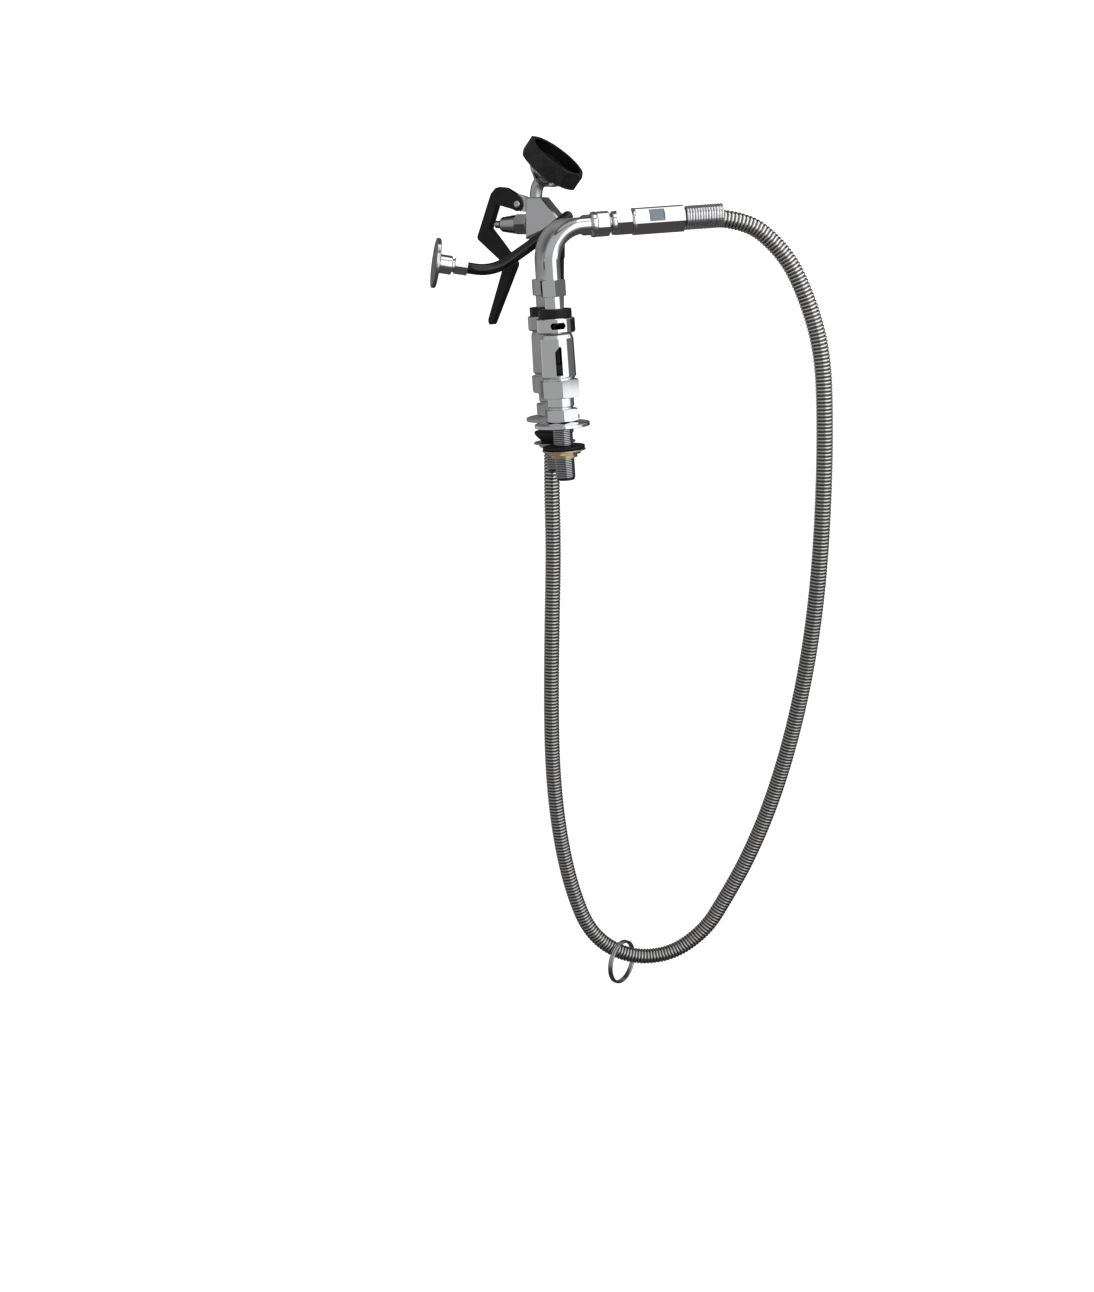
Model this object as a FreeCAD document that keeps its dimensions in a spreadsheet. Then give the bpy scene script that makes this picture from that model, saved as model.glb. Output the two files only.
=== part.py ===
import FreeCAD, Part
import math
import os
import re

# Handheld bath sprayer: two deck risers with vacuum breakers, a swivel outlet, a ribbed metal hose,
# a trigger sprayer and the wall hook that it hangs on.
# X runs along the outlet, Y away from the viewer, Z up. The origin is the centre of the front
# riser's seat on the deck.

doc = FreeCAD.newDocument("BathSprayer")
sheet = doc.addObject("Spreadsheet::Sheet", "Sizes")

SIZES = {
    # risers
    "riser_spacing": 76.0,
    "bore_radius": 8.0,
    "slip_gap": 0.05,
    "shank_radius": 11.6,
    "shank_drop": 63.0,
    "shank_grip": 12.0,
    "relief_depth": 0.8,
    "relief_width": 1.4,
    "flange_radius": 32.5,
    "flange_rim": 4.0,
    "flange_height": 6.4,
    "base_flats": 36.0,
    "base_height": 14.6,
    "waist_radius": 15.6,
    "waist_height": 13.0,
    "spigot_radius": 13.0,
    "spigot_height": 6.0,
    "union_flats": 42.0,
    "union_height": 20.6,
    "chamber_radius": 20.2,
    "chamber_wall": 3.0,
    "chamber_height": 53.0,
    "chamber_floor": 5.0,
    "window_half_width": 3.8,
    "window_height": 33.0,
    "window_slant": 6.0,
    "hood_radius": 22.4,
    "hood_wall": 2.6,
    "hood_height": 17.0,
    "hood_top": 3.4,
    "slot_half_width": 9.0,
    "slot_height": 7.2,
    "plug_depth": 1.5,
    "plug_sweep": 36.0,
    "cap_ring_radius": 19.4,
    "cap_ring_height": 10.5,
    "tail_radius": 11.0,
    "tail_neck": 13.5,
    "tail_foot": 3.0,
    "washer_thick": 2.0,
    "float_height": 12.0,
    "float_gap": 0.25,
    "float_travel": 6.0,
    "nut_flats": 27.0,
    "riser_nut_height": 19.0,
    "nut_engagement": 3.0,
    "chamfer_drop": 1.4,
    # under the deck
    "deck_thick": 22.6,
    "rubber_radius": 25.0,
    "rubber_thick": 4.0,
    "cone_height": 13.6,
    "cone_foot_radius": 15.6,
    "plate_radius": 25.6,
    "plate_thick": 1.6,
    "locknut_radius": 18.6,
    "locknut_neck_radius": 15.4,
    "locknut_height": 8.0,
    # elbow and outlet
    "pipe_radius": 9.5,
    "bend_radius": 46.0,
    "outlet_height": 225.0,
    "tee_start": 50.5,
    "tee_length": 18.6,
    "branch_radius": 11.6,
    "branch_reach": 27.0,
    "socket_depth": 7.0,
    "nipple_radius": 11.0,
    "nipple_gap": 7.0,
    "coupling_length": 18.4,
    "coupling_gap": 0.8,
    "sleeve_length": 60.0,
    "sleeve_flats": 28.8,
    "sleeve_bore": 10.4,
    "hose_seat": 5.0,
    "marker_place": 27.4,
    "marker_length": 17.5,
    "marker_width": 14.3,
    "marker_floor": 12.0,
    "marker_thick": 0.8,
    "guard_length": 46.0,
    "guard_wire": 1.25,
    "guard_radius": 12.4,
    "guard_turns": 14.0,
    # hose and its ring
    "hose_radius": 10.2,
    "rib_depth": 0.9,
    "hose_bore": 7.0,
    "rib_count": 190.0,
    "ring_radius": 28.0,
    "ring_wire": 2.2,
    # sprayer, in its own frame: x away from the lever, z up its handle
    "sprayer_x": 20.0,
    "sprayer_y": 122.0,
    "sprayer_z": 205.0,
    "sprayer_lean": 4.0,
    "sprayer_turn": -35.0,
    "body_half_width": 11.0,
    "body_left": 31.7,
    "body_passage": 4.0,
    "valve_cavity": 7.5,
    "valve_z": 24.6,
    "boss_radius": 9.5,
    "boss_top": 30.0,
    "stem_radius": 8.6,
    "stem_wall": 1.6,
    "stem_top": 14.0,
    "grip_radius": 14.2,
    "grip_collar_radius": 15.2,
    "grip_top": 8.0,
    "grip_collar": 22.0,
    "grip_length": 118.0,
    "hose_nut_flats": 25.0,
    "hose_nut_height": 22.0,
    "hose_nut_seat": 8.0,
    "bonnet_flats": 24.0,
    "bonnet_collar": 16.0,
    "bonnet_length": 38.0,
    "bonnet_cone_radius": 11.6,
    "bonnet_tip_radius": 9.0,
    "valve_stem_radius": 4.6,
    "push_pin_radius": 2.0,
    "stem_reach": 50.9,
    "running_gap": 0.08,
    "lever_half_width": 6.5,
    "tongue_half_width": 3.2,
    "side_gap": 0.35,
    "pivot_x": -45.0,
    "pivot_z": 48.0,
    "pivot_radius": 2.6,
    "pivot_head_radius": 4.2,
    "pivot_head": 1.6,
    "head_tilt": 39.0,
    "head_x": 0.4,
    "head_z": 95.0,
    "bumper_flats": 73.0,
    "bumper_depth": 21.0,
    "bumper_bore": 32.2,
    "bumper_lip_bore": 24.0,
    "cup_hub_radius": 9.6,
    "cup_foot": -28.0,
    "cup_rest": -24.0,
    "face_radius": 27.8,
    "face_thick": 2.4,
    "jet_radius": 1.2,
    "neck_radius": 7.7,
    "neck_bore": 5.0,
    # wall hook
    "hook_x": -125.2,
    "hook_y": 96.3,
    "hook_z": 194.4,
    "hook_dip": 12.6,
    "hook_yaw": 2.0,
    "arm_y": 98.7,
    "wall_flange_radius": 29.4,
    "wall_flange_thick": 4.8,
    "hub_radius": 11.2,
    "hub_length": 19.4,
    "hook_nut_flats": 18.6,
    "hook_nut_length": 15.7,
    "arm_radius": 6.7,
    "screw_circle": 22.0,
    "screw_hole": 2.4,
}

for line_number, (alias, value) in enumerate(SIZES.items(), start=1):
    sheet.set("A%d" % line_number, alias.replace("_", " "))
    sheet.set("B%d" % line_number, str(value))
    sheet.setAlias("B%d" % line_number, alias)
doc.recompute()

PARTS = []


def link(text):
    """Turns plain size names into references to the sheet."""
    return re.sub(r"[a-z][a-z_]*",
                  lambda word: "Sizes." + word.group() if word.group() in SIZES else word.group(),
                  str(text))


def read(text):
    """The present value of an expression of size names."""
    value = sheet.evalExpression(link(text))
    return float(getattr(value, "Value", value))


def bind(thing, path, text):
    thing.setExpression(path, link(text))


def place(thing, base, axis=None, angle="0"):
    """Puts a piece at a place given by expressions, turned about an axis by an angle."""
    turn = FreeCAD.Rotation(FreeCAD.Vector(*axis), read(angle)) if axis else FreeCAD.Rotation()
    thing.Placement = FreeCAD.Placement(FreeCAD.Vector(*[read(part) for part in base]), turn)
    for name, part in zip("xyz", base):
        bind(thing, "Placement.Base." + name, part)


def new_body(name, base=("0", "0", "0"), axis=None, angle="0"):
    body = doc.addObject("PartDesign::Body", name)
    body.Label = name
    place(body, base, axis, angle)
    PARTS.append(body)
    return body


def keep(thing, name):
    """Names a finished piece that is not a body and lists it for export."""
    thing.Label = name
    PARTS.append(thing)
    return thing


def outline(body, role, points, offset="0"):
    """A closed outline whose corners are bound to expressions, on one of the body's own planes."""
    import Sketcher
    sketch = body.newObject("Sketcher::SketchObject", body.Label + "_outline")
    plane = [item for item in body.Origin.OriginFeatures if item.Role == role][0]
    sketch.AttachmentSupport = [(plane, "")]
    sketch.MapMode = "FlatFace"
    corners = [FreeCAD.Vector(read(across), read(along), 0) for across, along in points]
    for index, corner in enumerate(corners):
        sketch.addGeometry(Part.LineSegment(corner, corners[(index + 1) % len(corners)]), False)
    for index in range(len(corners)):
        sketch.addConstraint(Sketcher.Constraint("Coincident", index, 2, (index + 1) % len(corners), 1))
    for index, (across, along) in enumerate(points):
        for kind, text, axis_id in (("DistanceX", across, -2), ("DistanceY", along, -1)):
            if text == "0":
                sketch.addConstraint(Sketcher.Constraint("PointOnObject", index, 1, axis_id))
                continue
            number = sketch.addConstraint(Sketcher.Constraint(kind, -1, 1, index, 1, read(text)))
            bind(sketch, "Constraints[%d]" % number, text)
    if offset != "0":
        bind(sketch, "AttachmentOffset.Base.z", offset)
        sketch.AttachmentOffset = FreeCAD.Placement(FreeCAD.Vector(0, 0, read(offset)), FreeCAD.Rotation())
    return sketch


def turned(body, points, cut=False, role="XZ_Plane", sweep="360"):
    """Revolves an outline of (radius, height) corners about the body's Z axis, to add or to cut."""
    sketch = outline(body, role, points)
    kind = "PartDesign::Groove" if cut else "PartDesign::Revolution"
    feature = body.newObject(kind, body.Label + ("_groove" if cut else "_turned"))
    feature.Profile = sketch
    feature.ReferenceAxis = (sketch, ["V_Axis"])
    feature.Angle = read(sweep)
    if sweep != "360":
        feature.Midplane = True
        bind(feature, "Angle", sweep)
    body.Tip = feature
    return feature


def raised(body, role, points, length, offset="0", centred=False):
    """Pads an outline to a length."""
    feature = body.newObject("PartDesign::Pad", body.Label + "_pad")
    feature.Profile = outline(body, role, points, offset)
    feature.SideType = "Symmetric" if centred else "One side"
    feature.Length = read(length)
    bind(feature, "Length", length)
    body.Tip = feature
    return feature


def sunk(body, role, points, length, offset="0", flip=False, centred=False):
    """Pockets an outline to a depth."""
    feature = body.newObject("PartDesign::Pocket", body.Label + "_pocket")
    feature.Profile = outline(body, role, points, offset)
    feature.SideType = "Symmetric" if centred else "One side"
    feature.Length = read(length)
    feature.Reversed = flip
    bind(feature, "Length", length)
    body.Tip = feature
    return feature


def drilled(body, role, across, along, radius, length, offset="0", centred=True):
    """A round hole of a bound radius and place."""
    import Sketcher
    sketch = body.newObject("Sketcher::SketchObject", body.Label + "_hole")
    plane = [item for item in body.Origin.OriginFeatures if item.Role == role][0]
    sketch.AttachmentSupport = [(plane, "")]
    sketch.MapMode = "FlatFace"
    sketch.addGeometry(Part.Circle(FreeCAD.Vector(read(across), read(along), 0), FreeCAD.Vector(0, 0, 1),
                                   read(radius)))
    number = sketch.addConstraint(Sketcher.Constraint("Radius", 0, read(radius)))
    bind(sketch, "Constraints[%d]" % number, radius)
    for kind, text, axis_id in (("DistanceX", across, -2), ("DistanceY", along, -1)):
        if text == "0":
            sketch.addConstraint(Sketcher.Constraint("PointOnObject", 0, 3, axis_id))
        else:
            number = sketch.addConstraint(Sketcher.Constraint(kind, -1, 1, 0, 3, read(text)))
            bind(sketch, "Constraints[%d]" % number, text)
    if offset != "0":
        sketch.AttachmentOffset = FreeCAD.Placement(FreeCAD.Vector(0, 0, read(offset)), FreeCAD.Rotation())
        bind(sketch, "AttachmentOffset.Base.z", offset)
    feature = body.newObject("PartDesign::Pocket", body.Label + "_drilled")
    feature.Profile = sketch
    feature.SideType = "Symmetric" if centred else "One side"
    feature.Length = read(length)
    body.Tip = feature
    return feature


def patterned(body, feature, axis_role, count):
    """Repeats a feature evenly about one of the body's axes."""
    pattern = body.newObject("PartDesign::PolarPattern", body.Label + "_pattern")
    pattern.Originals = [feature]
    axis = [item for item in body.Origin.OriginFeatures if item.Role == axis_role][0]
    pattern.Axis = (axis, [""])
    pattern.Angle = 360.0
    pattern.Occurrences = count
    body.Tip = pattern
    return pattern


def regular(flats, sides=6, phase=0.0):
    """Corners of a regular polygon across its flats."""
    corners = []
    for side in range(sides):
        angle = math.radians(phase + (side + 0.5) * 360.0 / sides)
        reach = 0.5 / math.cos(math.pi / sides)
        across, along = reach * math.cos(angle), reach * math.sin(angle)
        corners.append(("%s * %.9g" % (flats, across) if abs(across) > 1e-9 else "0",
                        "%s * %.9g" % (flats, along) if abs(along) > 1e-9 else "0"))
    return corners


def hex_piece(name, flats, low, height, bore, base, axis=None, angle="0",
              top=True, bottom=True, sides=6, phase=0.0):
    """A piece with flats, turned chamfers and a round bore. Its own Z runs through the bore."""
    body = new_body(name, base, axis, angle)
    raised(body, "XY_Plane", regular(flats, sides, phase), height, low)
    high = "%s + %s" % (low, height)
    corner = "%s * 0.5774" % flats
    wide = "%s + 2" % corner
    rim = "%s * 0.487" % flats
    if top:
        turned(body, [(rim, high), (wide, high), (wide, "%s - chamfer_drop * 1.3" % high)], cut=True)
    if bottom:
        turned(body, [(rim, low), (wide, low), (wide, "%s + chamfer_drop * 1.3" % low)], cut=True)
    turned(body, [("0", "%s - 1" % low), (bore, "%s - 1" % low), (bore, "%s + 1" % high),
                  ("0", "%s + 1" % high)], cut=True)
    return body


# levels of a riser, from the deck up
BASE_LOW = "flange_height"
BASE_HIGH = BASE_LOW + " + base_height"
WAIST_HIGH = BASE_HIGH + " + waist_height"
UNION_HIGH = WAIST_HIGH + " + union_height"
CHAMBER_HIGH = UNION_HIGH + " + chamber_height"
HOOD_HIGH = CHAMBER_HIGH + " + hood_height"
CAP_HIGH = HOOD_HIGH + " + cap_ring_height"
NECK_HIGH = CAP_HIGH + " + tail_neck"
NUT_HIGH = NECK_HIGH + " + riser_nut_height"
TAIL_HIGH = NECK_HIGH + " + nut_engagement"
RUBBER_LOW = "-deck_thick - rubber_thick"
PLATE_LOW = RUBBER_LOW + " - plate_thick"
LOCKNUT_LOW = PLATE_LOW + " - locknut_height"


def riser(side, depth):
    """One deck riser. Its pieces share the riser's axis."""
    base = ("0", depth, "0")
    inner = "chamber_radius - chamber_wall"

    shank = new_body(side + "_shank", base)
    relief = LOCKNUT_LOW + " - 0.4"
    turned(shank, [("bore_radius", "-shank_drop"),
                   ("shank_radius - 1", "-shank_drop"),
                   ("shank_radius", "1 - shank_drop"),
                   ("shank_radius", relief + " - relief_width"),
                   ("shank_radius - relief_depth", relief + " - relief_width"),
                   ("shank_radius - relief_depth", relief),
                   ("shank_radius", relief),
                   ("shank_radius", "shank_grip"),
                   ("bore_radius", "shank_grip")])

    flange = new_body(side + "_deck_flange", base)
    turned(flange, [("shank_radius + slip_gap", "0"), ("flange_radius", "0"),
                    ("flange_radius", "flange_rim"),
                    ("flange_radius - 2.4", "flange_rim + 0.7"),
                    ("base_flats * 0.577 + 0.6", "flange_rim + 1.6"),
                    ("base_flats * 0.5", "flange_height"), ("shank_radius + slip_gap", "flange_height")])

    lower = hex_piece(side + "_base", "base_flats", BASE_LOW, "base_height", "bore_radius", base)
    turned(lower, [("bore_radius", BASE_HIGH), ("waist_radius - 1.6", BASE_HIGH),
                   ("waist_radius - 1.6", BASE_HIGH + " + 1.5"),
                   ("waist_radius", BASE_HIGH + " + 3"), ("waist_radius", WAIST_HIGH),
                   ("spigot_radius", WAIST_HIGH), ("spigot_radius", WAIST_HIGH + " + spigot_height"),
                   ("bore_radius", WAIST_HIGH + " + spigot_height")])
    turned(lower, [("0", BASE_LOW + " - 1"), ("shank_radius + slip_gap", BASE_LOW + " - 1"),
                   ("shank_radius + slip_gap", "shank_grip"), ("0", "shank_grip")], cut=True)

    union = hex_piece(side + "_union_nut", "union_flats", WAIST_HIGH, "union_height", "bore_radius", base)
    turned(union, [("0", WAIST_HIGH + " - 1"), ("spigot_radius + slip_gap", WAIST_HIGH + " - 1"),
                   ("spigot_radius + slip_gap", WAIST_HIGH + " + spigot_height"),
                   ("0", WAIST_HIGH + " + spigot_height")], cut=True)

    chamber = new_body(side + "_breaker_chamber", base)
    turned(chamber, [("bore_radius", UNION_HIGH), ("chamber_radius - 2.2", UNION_HIGH),
                     ("chamber_radius - 2.2", UNION_HIGH + " + 1.4"),
                     ("chamber_radius", UNION_HIGH + " + 4"),
                     ("chamber_radius - 0.6", CHAMBER_HIGH + " - 6"),
                     ("chamber_radius - 2.8", CHAMBER_HIGH),
                     (inner, CHAMBER_HIGH), (inner, UNION_HIGH + " + chamber_floor"),
                     ("bore_radius", UNION_HIGH + " + chamber_floor")])
    sill = UNION_HIGH + " + chamber_floor + 0.5"
    lintel = sill + " + window_height"
    window = [("-window_half_width", sill),
              ("window_half_width", sill),
              ("window_half_width", lintel + " - window_slant"),
              ("window_half_width - window_slant + 0.6", lintel),
              ("-window_half_width + 1.5", lintel),
              ("-window_half_width", lintel + " - 1.5")]
    cut = sunk(chamber, "XZ_Plane", window, "chamber_radius + 2")
    patterned(chamber, cut, "Z_Axis", 3)
    place(chamber, base, (0, 0, 1), "55")

    seat = new_body(side + "_seat_washer", base)
    floor = UNION_HIGH + " + chamber_floor"
    turned(seat, [("tail_radius + 0.4", floor), (inner + " - 0.4", floor),
                  (inner + " - 0.4", floor + " + washer_thick"),
                  ("tail_radius + 0.4", floor + " + washer_thick")])

    ring_low = floor + " + washer_thick"
    floating = new_body(side + "_float", base)
    turned(floating, [("tail_radius + float_gap", ring_low), (inner + " - float_gap - 0.8", ring_low),
                      (inner + " - float_gap", ring_low + " + 0.8"),
                      (inner + " - float_gap", ring_low + " + float_height - 2"),
                      (inner + " - 2.4", ring_low + " + float_height"),
                      ("tail_radius + float_gap", ring_low + " + float_height")])

    hood = new_body(side + "_hood", base)
    turned(hood, [(inner, CHAMBER_HIGH), ("hood_radius - 1.6", CHAMBER_HIGH),
                  ("hood_radius", CHAMBER_HIGH + " + 1.6"),
                  ("hood_radius", HOOD_HIGH + " - 1"), ("hood_radius - 1", HOOD_HIGH),
                  ("tail_radius + slip_gap", HOOD_HIGH), ("tail_radius + slip_gap",
                                                          HOOD_HIGH + " - hood_top"),
                  ("hood_radius - hood_wall", HOOD_HIGH + " - hood_top"),
                  ("hood_radius - hood_wall", CHAMBER_HIGH + " + 3"),
                  (inner, CHAMBER_HIGH + " + 3")])
    slot_mid = CHAMBER_HIGH + " + 8.6"
    slot = [("-slot_half_width", slot_mid), ("-slot_half_width + 2", slot_mid + " - slot_height / 2"),
            ("slot_half_width - 2", slot_mid + " - slot_height / 2"), ("slot_half_width", slot_mid),
            ("slot_half_width - 2", slot_mid + " + slot_height / 2"),
            ("-slot_half_width + 2", slot_mid + " + slot_height / 2")]
    cut = sunk(hood, "XZ_Plane", slot, "hood_radius + 2")
    patterned(hood, cut, "Z_Axis", 3)
    plug_floor = "plug_depth - hood_radius"
    plug_low = CHAMBER_HIGH + " + 1.9"
    plug_high = HOOD_HIGH + " - 1.4"
    turned(hood, [(plug_floor, plug_low), ("-hood_radius - 1", plug_low),
                  ("-hood_radius - 1", plug_high), (plug_floor, plug_high)],
           cut=True, role="YZ_Plane", sweep="plug_sweep")
    place(hood, base, (0, 0, 1), "59")

    plug = new_body(side + "_hood_plug", base)
    turned(plug, [(plug_floor, plug_low + " + slip_gap"),
                  ("-hood_radius", plug_low + " + slip_gap"),
                  ("-hood_radius - 0.2", plug_low + " + 1"),
                  ("-hood_radius - 0.2", plug_high + " - 1"),
                  ("-hood_radius", plug_high + " - slip_gap"),
                  (plug_floor, plug_high + " - slip_gap")],
           role="YZ_Plane", sweep="plug_sweep - 0.4")
    place(plug, base, (0, 0, 1), "59")

    ring = new_body(side + "_cap_ring", base)
    turned(ring, [("tail_radius + slip_gap", HOOD_HIGH), ("cap_ring_radius - 0.8", HOOD_HIGH),
                  ("cap_ring_radius", HOOD_HIGH + " + 0.8"), ("cap_ring_radius", CAP_HIGH + " - 0.8"),
                  ("cap_ring_radius - 0.8", CAP_HIGH), ("tail_radius + slip_gap", CAP_HIGH)])

    tail = new_body(side + "_tailpiece", base)
    turned(tail, [("bore_radius", UNION_HIGH + " + chamber_floor"),
                  ("tail_radius", UNION_HIGH + " + chamber_floor"),
                  ("tail_radius", TAIL_HIGH), ("bore_radius", TAIL_HIGH)])
    port = [("-3", HOOD_HIGH + " - 12"), ("3", HOOD_HIGH + " - 12"), ("3", HOOD_HIGH + " - 7"),
            ("-3", HOOD_HIGH + " - 7")]
    cut = sunk(tail, "XZ_Plane", port, "tail_radius + 2")
    patterned(tail, cut, "Z_Axis", 4)

    nut = hex_piece(side + "_riser_nut", "nut_flats", NECK_HIGH, "riser_nut_height",
                    "pipe_radius + slip_gap", base)
    turned(nut, [("0", NECK_HIGH + " - 1"), ("tail_radius + slip_gap", NECK_HIGH + " - 1"),
                 ("tail_radius + slip_gap", TAIL_HIGH), ("0", TAIL_HIGH)], cut=True)

    hole = "shank_radius + slip_gap"
    rubber = new_body(side + "_rubber_washer", base)
    if side == "front":
        turned(rubber, [(hole, "-deck_thick"), (hole, RUBBER_LOW), ("rubber_radius - 2", RUBBER_LOW),
                        ("rubber_radius", RUBBER_LOW + " + 1.6"), ("rubber_radius", "-deck_thick")])
    else:
        cone_top = RUBBER_LOW + " + cone_height"
        turned(rubber, [(hole, cone_top), (hole, RUBBER_LOW), ("cone_foot_radius", RUBBER_LOW),
                        ("cone_foot_radius + 2", RUBBER_LOW + " + 3"),
                        ("rubber_radius - 3.4", cone_top + " - 6.4"),
                        ("rubber_radius - 1.2", cone_top + " - 3.4"),
                        ("rubber_radius - 0.6", cone_top + " - 1.2"),
                        ("rubber_radius - 1.4", cone_top)])
    plate = new_body(side + "_friction_plate", base)
    turned(plate, [(hole, RUBBER_LOW), (hole, PLATE_LOW), ("plate_radius", PLATE_LOW),
                   ("plate_radius", RUBBER_LOW)])
    locknut = new_body(side + "_locknut", base)
    raised(locknut, "XY_Plane", regular("locknut_radius * 2", 8), "locknut_height * 0.5",
           PLATE_LOW + " - locknut_height * 0.5")
    turned(locknut, [(hole, PLATE_LOW), ("locknut_radius - 1", PLATE_LOW),
                     ("locknut_neck_radius", PLATE_LOW + " - locknut_height * 0.55"),
                     ("locknut_neck_radius", LOCKNUT_LOW), (hole, LOCKNUT_LOW)])
    turned(locknut, [("0", LOCKNUT_LOW + " - 1"), (hole, LOCKNUT_LOW + " - 1"),
                     (hole, PLATE_LOW + " + 1"), ("0", PLATE_LOW + " + 1")], cut=True)


def elbow_solid(name, radius, run, low, extra):
    """A vertical leg, a quarter bend and a level leg of one radius, in the XZ plane."""
    upright = doc.addObject("Part::Cylinder", name + "_leg")
    bind(upright, "Radius", radius)
    bind(upright, "Height", "outlet_height - bend_radius - ( " + low + " ) + " + extra)
    bind(upright, "Placement.Base.z", low + " - " + extra)
    bend = doc.addObject("Part::Torus", name + "_bend")
    bind(bend, "Radius1", "bend_radius")
    bind(bend, "Radius2", radius)
    bend.Angle3 = 90
    bend.Placement.Rotation = FreeCAD.Rotation(FreeCAD.Vector(-1, 0, 0), FreeCAD.Vector(0, 0, 1),
                                               FreeCAD.Vector(0, 1, 0), "ZXY")
    bind(bend, "Placement.Base.x", "bend_radius")
    bind(bend, "Placement.Base.z", "outlet_height - bend_radius")
    level = doc.addObject("Part::Cylinder", name + "_run")
    bind(level, "Radius", radius)
    bind(level, "Height", run + " - bend_radius + " + extra)
    level.Placement.Rotation = FreeCAD.Rotation(FreeCAD.Vector(0, 1, 0), 90)
    bind(level, "Placement.Base.x", "bend_radius")
    bind(level, "Placement.Base.z", "outlet_height")
    whole = doc.addObject("Part::MultiFuse", name)
    whole.Shapes = [upright, bend, level]
    whole.Refine = True
    return whole


def elbow(side, depth, run, heading):
    """The chromed pipe from a riser's nut to the outlet tee."""
    outer = elbow_solid(side + "_elbow_outer", "pipe_radius", run, TAIL_HIGH, "0")
    inner = elbow_solid(side + "_elbow_inner", "bore_radius", run, TAIL_HIGH, "1")
    pipe = doc.addObject("Part::Cut", side + "_elbow")
    pipe.Base = outer
    pipe.Tool = inner
    place(pipe, ("0", depth, "0"), (0, 0, 1), heading)
    return keep(pipe, side + "_elbow")


TEE_CENTRE = "tee_start + tee_length / 2"
TEE_END = "tee_start + tee_length"
COUPLING_START = TEE_END + " + nipple_gap"
SLEEVE_START = COUPLING_START + " + coupling_length + coupling_gap"
SLEEVE_END = SLEEVE_START + " + sleeve_length"
GUARD_END = SLEEVE_END + " + guard_length"
OUTLET = ("0", "0", "outlet_height")
ALONG = (0, 1, 0)


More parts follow.
